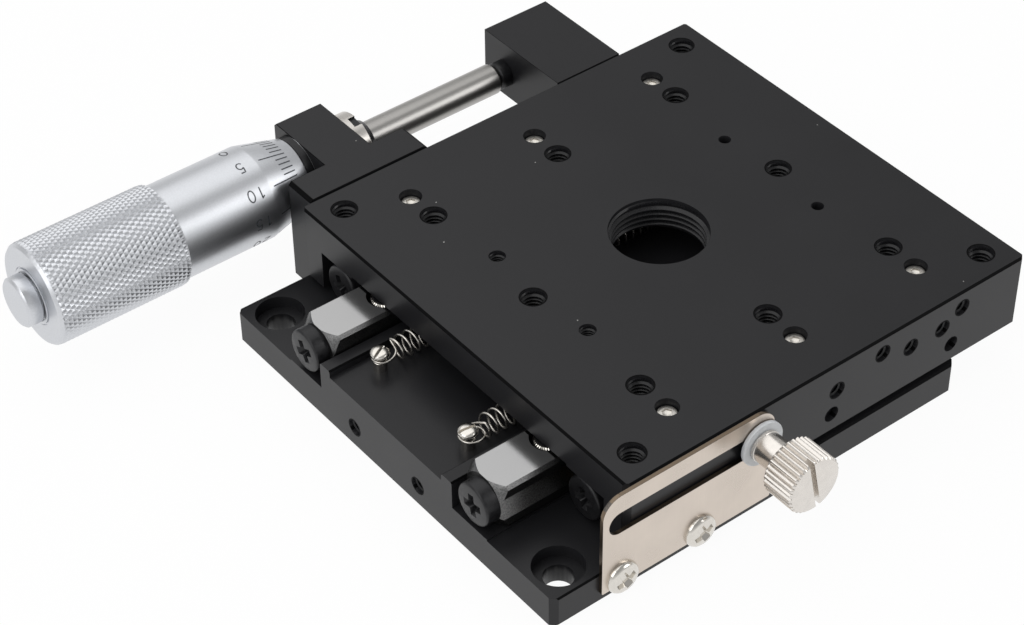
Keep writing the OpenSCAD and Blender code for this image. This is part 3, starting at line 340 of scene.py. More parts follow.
def worn_edge(rgb):
    """The same anodised skin on a milled chamfer, its colour painted nearly black as painted shade: duller, with a fine
    even grain.
    """
    material, tree = new_material("anodised_chamfer_painted_shade")
    grain = speckle(tree, 0.3 * MM, 2)
    finish_surface(tree, {
        # Painted shade: a tenth to a quarter of the plate's colour
        "Base Color": toned(tree, grain, rgb, 0.12, 0.25),
        "Metallic": 0.0,
        "Roughness": varied(tree, grain, 0.5, 0.6),
        "Specular IOR Level": 0.05,
    }, grain, 0.005 * MM, 0.4)
    return material


def tapped_thread(rgb):
    """The same black skin in a cut thread, where the tap leaves it smoother and the crests catch the light."""
    material, tree = new_material("anodised_thread_black")
    chatter = speckle(tree, 0.25 * MM, 2)
    finish_surface(tree, {
        "Base Color": toned(tree, chatter, rgb, 0.9, 1.3),
        "Metallic": 0.0,
        "Roughness": varied(tree, chatter, 0.22, 0.34),
        "Specular IOR Level": 0.35,
    }, chatter, 0.01 * MM, 0.5)
    return material


def ground_steel(rgb):
    """Hardened bearing steel: its top ground pale and even, its chamfers, sides and turned ends left rougher and
    painted dark, a painted reflection of the black plates round them.
    """
    material, tree = new_material("ground_bearing_steel")
    # Grinding lines about 0.2 mm wide run along the rail
    lines = speckle(tree, 0.2 * MM, 3, (0.012, 1, 1))
    pits = speckle(tree, 0.3 * MM, 2)
    # Only the faces within about 20 degrees of level are ground bright; the rest are rougher, and their colour is a
    # painted reflection of the dark plates, a quarter to half as bright
    unground_and_shaded = turned_away(tree, "Z", 0.93)
    ground = toned(tree, lines, rgb, 0.98, 1.02)
    rough = toned(tree, pits, rgb, 0.22, 0.5)
    finish_surface(tree, {
        "Base Color": varied(tree, unground_and_shaded, ground, rough),
        "Metallic": 1.0,
        "Roughness": varied(tree, unground_and_shaded, 0.17, 0.34),
    }, lines, 0.0008 * MM, 0.2)
    return material


def satin_chrome(rgb):
    """Turned steel with satin chrome: bright, with a broad soft highlight and rings too fine to see one by one."""
    material, tree = new_material("satin_chrome_turned")
    # The real rings are under 0.05 mm, and they are drawn three times as coarse so that they show
    rings = speckle(tree, 0.15 * MM, 3, (1, 0.02, 0.02))
    grain = speckle(tree, 0.4 * MM, 2)
    finish_surface(tree, {
        "Base Color": toned(tree, grain, rgb, 0.96, 1.03),
        "Metallic": 1.0,
        "Roughness": varied(tree, rings, 0.36, 0.39),
    }, rings, 0.0005 * MM, 0.08)
    return material


def polished_steel(rgb, name, rough):
    """Hardened steel, ground round and polished: smooth, with rings round it too faint to see one by one."""
    material, tree = new_material(name)
    rings = speckle(tree, 0.3 * MM, 3, (1, 0.03, 0.03))
    finish_surface(tree, {
        "Base Color": toned(tree, rings, rgb, 0.97, 1.02),
        "Metallic": 1.0,
        "Roughness": varied(tree, rings, rough, rough + 0.015),
    }, rings, 0.0001 * MM, 0.05)
    return material


def plated_steel(rgb, name, rough):
    """Small turned steel parts with bright nickel plate: warm, shiny and a little uneven from the plating bath."""
    material, tree = new_material(name)
    bath = speckle(tree, 1.2 * MM, 3)
    finish_surface(tree, {
        "Base Color": toned(tree, bath, rgb, 0.95, 1.03),
        "Metallic": 1.0,
        "Roughness": varied(tree, bath, rough, rough + 0.06),
    }, bath, 0.002 * MM, 0.1)
    return material


def nickel_sheet(rgb):
    """Laser-cut steel sheet with satin nickel plate: warm grey, with soft stains and faint upright rolling lines."""
    material, tree = new_material("nickel_plated_sheet")
    stains = speckle(tree, 9 * MM, 3)
    lines = speckle(tree, 0.35 * MM, 2, (1, 1, 0.03))
    tone = toned(tree, stains, rgb, 0.93, 1.03)
    rolled = add(tree, "Mix", {0: varied(tree, lines, 0, 0.15), 6: tone, 7: shade(rgb, 0.85)}, data_type="RGBA")
    # The rim round the sheet and its slot is where the laser cut it, and is browner
    rim = turned_away(tree, "Y", 0.6)
    finish_surface(tree, {
        "Base Color": varied(tree, rim, rolled.outputs[2], opaque(linear("#77695a"))),
        "Metallic": 1.0,
        "Roughness": varied(tree, stains, 0.26, 0.34),
    }, lines, 0.002 * MM, 0.4)
    return material


def cut_edge(rgb):
    """The scorched edge of laser-cut sheet: brown oxide, dull and mottled."""
    material, tree = new_material("laser_cut_edge")
    scorch = speckle(tree, 0.5 * MM, 3)
    finish_surface(tree, {
        "Base Color": toned(tree, scorch, rgb, 0.12, 0.22),
        "Metallic": 0.6,
        "Roughness": varied(tree, scorch, 0.35, 0.5),
    }, scorch, 0.01 * MM, 0.4)
    return material


def black_oxide(rgb):
    """Steel screws with hot black oxide: dark grey and a little oily, so that their edges shine."""
    material, tree = new_material("black_oxide_steel")
    patches = speckle(tree, 0.8 * MM, 3)
    finish_surface(tree, {
        "Base Color": toned(tree, patches, rgb, 0.8, 1.5),
        "Metallic": 0.35,
        "Roughness": varied(tree, patches, 0.3, 0.45),
    }, patches, 0.01 * MM, 0.3)
    return material


def moulded_nylon(rgb):
    """A moulded nylon washer: milky white, soft sheen and slightly translucent."""
    material, tree = new_material("moulded_nylon_white")
    haze = speckle(tree, 1.5 * MM, 2)
    finish_surface(tree, {
        "Base Color": toned(tree, haze, rgb, 0.95, 1.03),
        "Roughness": varied(tree, haze, 0.4, 0.5),
        "Subsurface Weight": 0.15,
        "Subsurface Radius": (0.8 * MM, 0.8 * MM, 0.8 * MM),
    }, haze, 0.01 * MM, 0.2)
    return material


def stamped_brass(rgb):
    """Stamped brass strip: a dark brownish yellow, rolled lengthwise."""
    material, tree = new_material("stamped_brass")
    rolled = speckle(tree, 0.3 * MM, 3, (0.05, 1, 1))
    finish_surface(tree, {
        "Base Color": toned(tree, rolled, rgb, 0.8, 1.1),
        "Metallic": 1.0,
        "Roughness": varied(tree, rolled, 0.3, 0.42),
    }, rolled, 0.003 * MM, 0.4)
    return material


def engraving_paint(rgb):
    """Enamel rubbed into engraved lines: dark, dull and worn a little thin in places."""
    material, tree = new_material("engraving_enamel_dark")
    thin = speckle(tree, 0.5 * MM, 3)
    # Up to half way to the grey of the metal that shows through
    tone = add(
        tree, "Mix", {0: varied(tree, thin, 0, 0.5), 6: opaque(rgb), 7: opaque(linear("#6c7076"))}, data_type="RGBA"
    )
    finish_surface(tree, {"Base Color": tone.outputs[2], "Roughness": 0.55})
    return material


def paint(material, *nodes):
    """Gives solids a finish."""
    for name in nodes:
        slots = NODES[name].material_slots
        if not slots:
            NODES[name].data.materials.append(material)
        for each in slots:
            each.material = material


def chamfer_finish(edge):
    """Geometry nodes that give the faces that slope between upright and level their own material: painted shade on the
    plates, the scorch of the cut on the lock plate.
    """
    tree = bpy.data.node_groups.new("shade_and_scorch_on_chamfers", "GeometryNodeTree")
    for way in ("INPUT", "OUTPUT"):
        tree.interface.new_socket("Geometry", in_out=way, socket_type="NodeSocketGeometry")
    normal = add(tree, "SeparateXYZ", {"Vector": add(tree, "GeometryNodeInputNormal").outputs["Normal"]})
    level = add(tree, "Math", {0: normal.outputs["Z"]}, operation="ABSOLUTE")
    slope = add(tree, "Math", {0: level.outputs[0], 1: math.sqrt(0.5), 2: 0.15}, operation="COMPARE")
    solid = add(tree, "NodeGroupInput").outputs[0]
    values = {"Geometry": solid, "Selection": slope.outputs[0], "Material": edge}
    finished = add(tree, "GeometryNodeSetMaterial", values)
    add(tree, "NodeGroupOutput", {"Geometry": finished.outputs["Geometry"]})
    return tree


def soften(width, *nodes, edge=None):
    """Breaks the sharp edges of solids, as a machined or stamped piece has them; edge is a material for them alone:
    painted shade on the plates, the cut's scorch on the sheet.
    """
    sloping = chamfer_finish(edge) if edge else None
    for name in nodes:
        if edge:
            NODES[name].data.materials.append(edge)
        weld = NODES[name].modifiers.new("joined_faces", "WELD")
        weld.merge_threshold = SAME_POINT * MM
        if edge:
            flat = NODES[name].modifiers.new("joined_flats", "DECIMATE")
            flat.decimate_type = "DISSOLVE"
            flat.angle_limit = math.radians(1)
            NODES[name].modifiers.new("dark_chamfers", "NODES").node_group = sloping
        bevel = NODES[name].modifiers.new("broken_edges", "BEVEL")
        bevel.width = width
        bevel.segments = 2
        bevel.limit_method = "ANGLE"
        bevel.angle_limit = math.radians(28)
        bevel.use_clamp_overlap = True
        bevel.harden_normals = True
        if edge:
            bevel.material = len(NODES[name].material_slots) - 1


# Meshes


class Shape:
    """Points and faces gathered for one mesh."""

    def __init__(self):
        self.points = []
        self.faces = []

    def add(self, points, faces, matrix=None):
        """Adds points and faces, moved by a matrix."""
        matrix = matrix or Matrix()
        first = len(self.points)
        self.points += [matrix @ Vector(point) for point in points]
        self.faces += [[first + i for i in face] for face in faces]
        return self


def turned(profile, segments, ripple=None):
    """A closed outline of (radius, height) turned about Z; ripple gives what a ring and segment add to the radius."""
    points = []
    for i, (r, z) in enumerate(profile):
        for k in range(segments):
            angle = math.tau * k / segments
            radius = r + (ripple(i, k) if ripple else 0)
            points.append((radius * math.cos(angle), radius * math.sin(angle), z))
    rings = len(profile)
    faces = []
    for i in range(rings):
        here, there = i * segments, (i + 1) % rings * segments
        for k in range(segments):
            after = (k + 1) % segments
            faces.append([here + k, here + after, there + after, there + k])
    return points, faces


def grid_faces(rows, columns, closed=False):
    """Faces of a grid of points, row by row, joined round if closed."""
    width = columns if closed else columns - 1
    return [
        [i * columns + k, i * columns + (k + 1) % columns, (i + 1) * columns + (k + 1) % columns, (i + 1) * columns + k]
        for i in range(rows - 1)
        for k in range(width)
    ]


def tidied(name, shape, near):
    """A mesh of a shape, with double points joined, empty faces dropped and its faces turned outwards."""
    mesh = bpy.data.meshes.new(name)
    mesh.from_pydata(shape.points, [], shape.faces)
    work = bmesh.new()
    work.from_mesh(mesh)
    bmesh.ops.remove_doubles(work, verts=work.verts, dist=near)
    bmesh.ops.dissolve_degenerate(work, edges=work.edges, dist=near / 2)
    bmesh.ops.recalc_face_normals(work, faces=work.faces)
    work.to_mesh(mesh)
    work.free()
    return mesh


def piece(name, shape, material, body, crease=32, stands_for=()):
    """A mesh object with this finish that rides on a body, and stands for these solids."""
    mesh = tidied(name, shape, SAME_POINT * MM)
    mesh.shade_smooth()
    mesh.set_sharp_from_angle(angle=math.radians(crease))
    mesh.materials.append(material)
    made = bpy.data.objects.new(name, mesh)
    bpy.context.scene.collection.objects.link(made)
    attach(made, body)
    if stands_for:
        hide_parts(*stands_for)
    return made


def carved(body, *cutters):
    """Points and faces of a shape with others cut out of it; they are in millimetres, and it comes back in metres."""
    scene = bpy.context.scene
    made = []
    for points, faces in (body, *cutters):
        mesh = tidied("carving", Shape().add(points, faces), SAME_POINT)
        made.append(bpy.data.objects.new("carving", mesh))
        scene.collection.objects.link(made[-1])
    for cutter in made[1:]:
        cut = made[0].modifiers.new("cut", "BOOLEAN")
        cut.operation = "DIFFERENCE"
        cut.solver = "EXACT"
        cut.object = cutter
    graph = bpy.context.evaluated_depsgraph_get()
    whole = made[0].evaluated_get(graph)
    result = whole.to_mesh()
    points = [vertex.co * MM for vertex in result.vertices]
    faces = [list(face.vertices) for face in result.polygons]
    whole.to_mesh_clear()
    for each in made:
        mesh = each.data
        bpy.data.objects.remove(each)
        bpy.data.meshes.remove(mesh)
    return points, faces


def wedge(reach, width, top, floor, taper, turn=0.0):
    """A long cutter that narrows towards its floor, turned about Z, in millimetres."""
    points = []
    for share, z in ((1, top), (taper, floor)):
        for x, y in ((-1, -1), (1, -1), (1, 1), (-1, 1)):
            point = Vector((x * reach * share, y * width / 2 * share, z))
            points.append(Matrix.Rotation(turn, 3, "Z") @ point)
    return points, [[3, 2, 1, 0], [4, 5, 6, 7]] + [[i, (i + 1) % 4, (i + 1) % 4 + 4, i + 4] for i in range(4)]


def through_points(points, steps=6):
    """A smooth path through points."""
    path = []
    for i in range(len(points) - 1):
        before, here, there, after = (points[max(0, min(len(points) - 1, i + n))] for n in (-1, 0, 1, 2))
        for k in range(steps):
            t = k / steps
            path.append(0.5 * (
                2 * here + (there - before) * t + (2 * before - 5 * here + 4 * there - after) * t * t
                + (3 * here - before - 3 * there + after) * t ** 3
            ))
    return path + [points[-1]]


def facing(origin, direction):
    """A matrix that turns +Z to a direction and moves it to a place."""
    return Matrix.Translation(origin) @ Vector(direction).to_track_quat("Z", "Y").to_matrix().to_4x4()


# Turns a piece made upright to lie along +X, with its X towards +Y and its Y up
ALONG_X = Matrix(((0, 0, 1), (1, 0, 0), (0, 1, 0))).to_4x4()
# Turns a piece made upright to face -Y, with its X along +X and its Y up
TOWARDS_FRONT = Matrix(((1, 0, 0), (0, 0, -1), (0, 1, 0))).to_4x4()


def thread_ridge(radius, pitch, depth, mouth, steps=48):
    """The ridge of a tapped thread, wound down -Z from the mouth of a hole at the origin."""
    # Depth and outline, as shares of the pitch, are those of a metric thread
    height = 0.54 * pitch
    outline = ((0, 0.0), (1, 0.34), (1, 0.56), (0, 0.88))
    # A little inside the hole's wall, so that the two don't lie in one place
    wall = radius - 0.005 * MM
    turns = (depth - mouth) / pitch - 1
    count = int(turns * steps)
    # Steps over which the ridge rises at its start and dies away at its end
    rise = 0.6 * steps
    points = []
    for k in range(count + 1):
        angle = math.tau * k / steps
        fade = min(1, k / rise, (count - k) / rise)
        z = -mouth - pitch * k / steps
        for crest, down in outline:
            r = wall - crest * height * fade
            points.append((r * math.cos(angle), r * math.sin(angle), z - down * pitch))
    return points, grid_faces(count + 1, len(outline))


def countersink(radius, width, segments=48):
    """The dark rim of a tapped hole, painted shade for its countersink: a skin that is proudest half way across."""
    rings = ((radius - 0.02 * MM, PROUD / 3), (radius + width / 2, PROUD), (radius + width, PROUD * 2 / 3))
    points = []
    for r, z in rings:
        for k in range(segments):
            angle = math.tau * k / segments
            points.append((r * math.cos(angle), r * math.sin(angle), z))
    return points, grid_faces(len(rings), segments, closed=True)


def tube(path, radius, sides=10):
    """A round wire along points."""
    points = []
    side = Vector((0, 0, 1))
    for i, here in enumerate(path):
        heading = (path[min(i + 1, len(path) - 1)] - path[max(i - 1, 0)]).normalized()
        side = (side - heading * side.dot(heading)).normalized()
        across = heading.cross(side)
        for k in range(sides):
            angle = math.tau * k / sides
            points.append(here + radius * (math.cos(angle) * side + math.sin(angle) * across))
    faces = grid_faces(len(path), sides, closed=True)
    last = (len(path) - 1) * sides
    return points, faces + [list(range(sides))[::-1], [last + k for k in range(sides)]]


# Groups of pieces


class STAGE_OT_plates(bpy.types.Operator):
    """Finish the plates, the bracket and the anvil block"""

    bl_idname = "stage.plates"
    bl_label = "Plates"

    def execute(self, context):
        plates = ("base_plate", "table_plate", "micrometer_bracket", "anvil_block")
        paint(anodised_aluminium(settings("colours").plate), *plates)
        # Painted shade: the chamfers, wider on the table, take a near-black colour where their edges fall dark
        edge = worn_edge(settings("colours").plate)
        soften(0.4 * MM, "table_plate", edge=edge)
        soften(0.15 * MM, "base_plate", "micrometer_bracket", "anvil_block", edge=edge)
        return {"FINISHED"}


# Tapped holes in the table's front side: millimetres from its middle, and below its top
SIDE_HOLES = ((14.8, 4.8), (39.8, 4.8), (1.1, 8), (23.9, 8), (33.9, 8))
# Tapped holes in the base plate's ends: millimetres from its middle, and above its underside
END_HOLE_Y = 12
END_HOLE_Z = 5.6


class STAGE_OT_threads(bpy.types.Operator):
    """Cut the threads of the tapped holes"""

    bl_idname = "stage.threads"
    bl_label = "Threads"

    def execute(self, context):
        sizes = settings("threads")
        material = tapped_thread(settings("colours").plate)
        # Painted shade: the skins round the holes stand for their countersinks in shadow
        dark = worn_edge(settings("colours").plate)
        self.table_holes(material, dark, sizes)
        self.base_holes(material, dark, sizes)
        return {"FINISHED"}

    def table_holes(self, material, dark, sizes):
        """The grid, corner, small and middle holes in the table's top, and the holes in its front side."""
        top = TABLE_HIGH.z
        half_x = (TABLE_HIGH.x - TABLE_LOW.x) / 2
        half_y = -BASE_LOW.y
        grid = [
            (i * (half_x - sizes.grid_inset), j * (half_y - sizes.grid_inset))
            for i in (-1, 0, 1) for j in (-1, 0, 1) if i or j
        ]
        corners = [
            (i * (half_x - sizes.corner_inset), j * (half_y - sizes.corner_inset)) for i in (-1, 1) for j in (-1, 1)
        ]
        table, table_rims = Shape(), Shape()
        ridge = thread_ridge(sizes.grid_radius, sizes.grid_pitch, sizes.grid_depth, sizes.mouth)
        rim = countersink(sizes.grid_radius, sizes.sink)
        for x, y in grid + corners:
            table.add(*ridge, Matrix.Translation((TABLE_MIDDLE.x + x, y, top)))
            table_rims.add(*rim, Matrix.Translation((TABLE_MIDDLE.x + x, y, top)))
        through = top - box("inner_rail_rear")[1].z
        small = thread_ridge(sizes.small_radius, sizes.small_pitch, through, sizes.mouth)
        for y in (-sizes.small_y, sizes.small_y):
            table.add(*small, Matrix.Translation((TABLE_MIDDLE.x - sizes.small_x, y, top)))
        centre = thread_ridge(sizes.centre_radius, sizes.centre_pitch, through, sizes.mouth, 96)
        table.add(*centre, Matrix.Translation((TABLE_MIDDLE.x, 0, top)))
        side = thread_ridge(sizes.small_radius, sizes.small_pitch, sizes.side_depth, sizes.mouth)
        rim = countersink(sizes.small_radius, sizes.sink)
        for x, depth in SIDE_HOLES:
            mouth = facing((TABLE_MIDDLE.x + x * MM, TABLE_LOW.y, top - depth * MM), (0, -1, 0))
            table.add(*side, mouth)
            table_rims.add(*rim, mouth)
        piece("table_threads", table, material, "table")
        piece("table_thread_shade_rims", table_rims, dark, "table")

    def base_holes(self, material, dark, sizes):
        """The holes in the base plate's ends."""
        base, base_rims = Shape(), Shape()
        end = thread_ridge(sizes.small_radius, sizes.small_pitch, sizes.end_depth, sizes.mouth)
        rim = countersink(sizes.small_radius, sizes.sink)
        for sign in (-1, 1):
            for y in (-END_HOLE_Y, END_HOLE_Y):
                mouth = facing((sign * BASE_HIGH.x, y * MM, END_HOLE_Z * MM), (sign, 0, 0))
                base.add(*end, mouth)
                base_rims.add(*rim, mouth)
        piece("base_threads", base, material, "root")
        piece("base_thread_shade_rims", base_rims, dark, "root")


class STAGE_OT_rails(bpy.types.Operator):
    """Finish the guide rails, the rollers and their cages"""

    bl_idname = "stage.rails"
    bl_label = "Rails and rollers"

    def execute(self, context):
        colours = settings("colours")
        rails = ("inner_rail_front", "inner_rail_rear", "outer_rail_front", "outer_rail_rear")
        paint(ground_steel(colours.rail), *rails)
        soften(0.12 * MM, *rails)
        paint(stamped_brass(colours.brass), "roller_cage_front", "roller_cage_rear")
        paint(polished_steel(colours.spindle, "polished_roller_steel", 0.16), "rollers_front", "rollers_rear")
        return {"FINISHED"}


# Millimetres, as the solids have them: radius and height of each kind of head
END_HEAD = (5.4, 3.8)
PAN_HEAD = (4.2, 2.0)
TABLE_HEAD = (2.4, 2.6)
CAP_HEAD = (3.5, 4.0)
LOCK_HEAD, LOCK_NECK = (7.3, 9.1), (4.0, 7.2)
RAIL_SCREWS_X = (-37.5, 0, 37.5)
PAN_SCREWS = ((-41.85, 5.2), (-19.75, 5.2))
# Spring posts: places of their axes, then the stem's radius, the height with the head, and the head's radius
BASE_POST_X, TABLE_POST_X, POST_Y = -49, 55, 16.4
POST = (1.65, 5.6, 2.35)


def dome(radius, height, edge, crown):
    """Half an outline of a screw head, from its seat at height 0 up to the middle of its top, in millimetres."""
    outline = [(0, 0), (radius, 0), (radius, height - crown - edge)]
    for k in range(1, 5):
        turn = math.pi / 2 * k / 4
        outline.append((radius - edge * (1 - math.cos(turn)), height - crown - edge * (1 - math.sin(turn))))
    for share in (0.75, 0.5, 0.25, 0):
        outline.append(((radius - edge) * share, height - crown * share ** 2))
    return outline


def cross_head(radius, height, edge, crown, turn, sizes, long=1.0, wide=1.0, segments=72):
    """A round head with a cross recess, longer and wider than usual by two factors."""
    reach, width = radius * sizes.cross_reach * long, radius * sizes.cross_width * wide
    floor = height - min(1.5, 0.7 * height)
    cutters = [wedge(reach, width, height + 0.6, floor, 0.5, turn + quarter) for quarter in (0, math.pi / 2)]
    middle_cut = turned([(0, height + 0.6), (0.85 * width, height + 0.6), (0.4 * width, floor), (0, floor)], 8)
    return carved(turned(dome(radius, height, edge, crown), segments), *cutters, middle_cut)


def hexagon_socket(height, half, side, tip):
    """A hexagonal well in the top of a head: half its width, and how deep its sides and its cone go."""
    return turned([(0, height + 1), (half, height + 1), (half, height - side), (0, height - tip)], 6)


def rail_screw_places(node, kind, middle_x=0.0):
    """Where the feet of the heads of one pair of rails' screws stand."""
    high = box(node)[1]
    radius, height = kind
    return [
        Matrix.Translation((middle_x + x * MM, side * (high.y - radius * MM), high.z - height * MM))
        for x in RAIL_SCREWS_X for side in (-1, 1)
    ]


class STAGE_OT_screws(bpy.types.Operator):
    """Make the screw heads that show"""

    bl_idname = "stage.screws"
    bl_label = "Screws"

    def execute(self, context):
        colours, sizes = settings("colours"), settings("screws")
        black = black_oxide(colours.black_steel)
        bright = plated_steel(colours.bright, "bright_plated_steel", 0.14)
        paint(black, "bracket_screws", "anvil_block_screws", "preload_set_screws", "anvil_pin")
        soften(0.1 * MM, "bracket_screws", "anvil_block_screws", "anvil_pin")
        self.end_screws(black, sizes)
        self.pan_screws(bright, sizes)
        self.table_screws(plated_steel(colours.bright, "bright_socket_steel", 0.32), sizes)
        self.cap_screws(black, bright, sizes)
        return {"FINISHED"}

    def end_screws(self, material, sizes):
        """Black cross-head screws in the rails' ends, which stop the roller cages."""
        for node, body in (("inner_rail_end_screws", "root"), ("outer_rail_end_screws", "table")):
            low, high = box(node)
            shape = Shape()
            radius, height = END_HEAD
            across = abs(low.y) - radius * MM
            for side in (-1, 1):
                for end, x in ((-1, low.x + height * MM), (1, high.x - height * MM)):
                    # The screws stand as they were left when they were tightened
                    turn = math.radians(10 if side * end > 0 else 25)
                    head = cross_head(radius, height, 0.6, 0.15, turn, sizes, 0.95, 1.45)
                    turned_end = ALONG_X @ Matrix.Rotation(0 if end > 0 else math.pi, 4, "X")
                    middle_at = Vector((x, side * across, (low.z + high.z) / 2))
                    shape.add(*head, Matrix.Translation(middle_at) @ turned_end)
            piece(node.replace("screws", "heads"), shape, material, body, 30, [node])

    def pan_screws(self, material, sizes):
        """Bright pan heads that hold the lock plate."""
        radius, height = PAN_HEAD
        seat = box("lock_plate_screws")[0].y + height * MM
        head = cross_head(radius, height, 1.4, 0.45, math.radians(25), sizes, 1.2, 1.9)
        shape = Shape()
        for x, z in PAN_SCREWS:
            shape.add(*head, Matrix.Translation((x * MM, seat, z * MM)) @ TOWARDS_FRONT)
        piece("lock_plate_heads", shape, material, "root", 30, ["lock_plate_screws"])

    def table_screws(self, material, sizes):
        """Bright screws with hexagon sockets, down in the table's holes."""
        radius, height = TABLE_HEAD
        well = hexagon_socket(height, sizes.socket / MM / 2, 0.4, 0.9)
        head = carved(turned(dome(radius, height, 0.3, 0.05), 60), well)
        shape = Shape()
        for seat in rail_screw_places("outer_rail_screws", TABLE_HEAD, TABLE_MIDDLE.x):
            shape.add(*head, seat)
        piece("table_screw_heads", shape, material, "table", 30, ["outer_rail_screws"])

    def cap_screws(self, black, bright, sizes):
        """Cap screws in the inner rails, with black heads whose knurled rims are bright plated steel: a painted
        highlight where the teeth glint.
        """
        radius, height = CAP_HEAD
        depth = sizes.tooth / MM
        rim = [(radius - 0.9, height - 0.35), (radius - 0.45, height - 0.1)]
        rim += [(radius, height - 0.5), (radius, 0), (radius - 0.9, 0)]

        def ripple(ring, segment):
            """Teeth of four segments each, in the two outermost rings."""
            return -depth * abs((segment % 4) - 2) / 2 if ring in (2, 3) else 0

        collar = turned(rim, sizes.teeth * 4, ripple)
        # The socket is 3.5 mm wide
        well = hexagon_socket(height, 1.75, 2.2, 2.6)
        middle_part = carved(turned([(0, 0), (radius - 0.8, 0), (radius - 0.8, height), (0, height)], 72), well)
        rims, heads = Shape(), Shape()
        for seat in rail_screw_places("inner_rail_screws", CAP_HEAD):
            rims.add(*collar, seat @ Matrix.Scale(MM, 4))
            heads.add(*middle_part, seat)
        # Painted highlight: bright rims round the black heads
        piece("cap_screw_highlight_rims", rims, bright, "root", 25, ["inner_rail_screws"])
        piece("cap_screw_heads", heads, black, "root", 30, ["inner_rail_screws"])


# Hooks of the springs from their posts' axes, in millimetres: the base plate's, front and rear, up to the first coil
FRONT_HOOK = (
    (3.0, 1.1, -0.1), (3.35, 0.2, 0.1), (3.6, -0.8, 0.0), (3.42, -1.8, -0.25), (2.7, -2.45, -0.3),
    (1.1, -2.9, -0.3), (-0.6, -2.35, -0.3), (-1.6, -1.2, -0.3), (-1.85, 0, -0.3), (-1.6, 1.2, -0.3),
    (-0.6, 2.35, -0.25), (0.7, 2.75, -0.1), (1.9, 2.3, 0.2), (2.7, 1.4, 0.9), (3.2, 0.4, 1.6), (3.5, -0.6, 2.1),
)
REAR_HOOK = (
    (1.75, 1.95, 0.1), (0.55, 2.35, 0.0), (-0.9, 1.9, 0.0), (-1.65, 0.9, 0.0), (-1.8, 0, 0.0), (-1.6, -0.9, 0.0),
    (-0.9, -1.85, 0.0), (0.55, -2.35, 0.0), (2.4, -2.0, 0.05), (3.8, -1.0, 0.6), (3.9, 0.4, 1.6), (3.95, 1.1, 2.05),
)
# Where each coil starts: millimetres from the post's axis, and its angle from +Y towards the top
COIL_STARTS = {"front": (3.85, 120), "rear": (4.0, 60)}


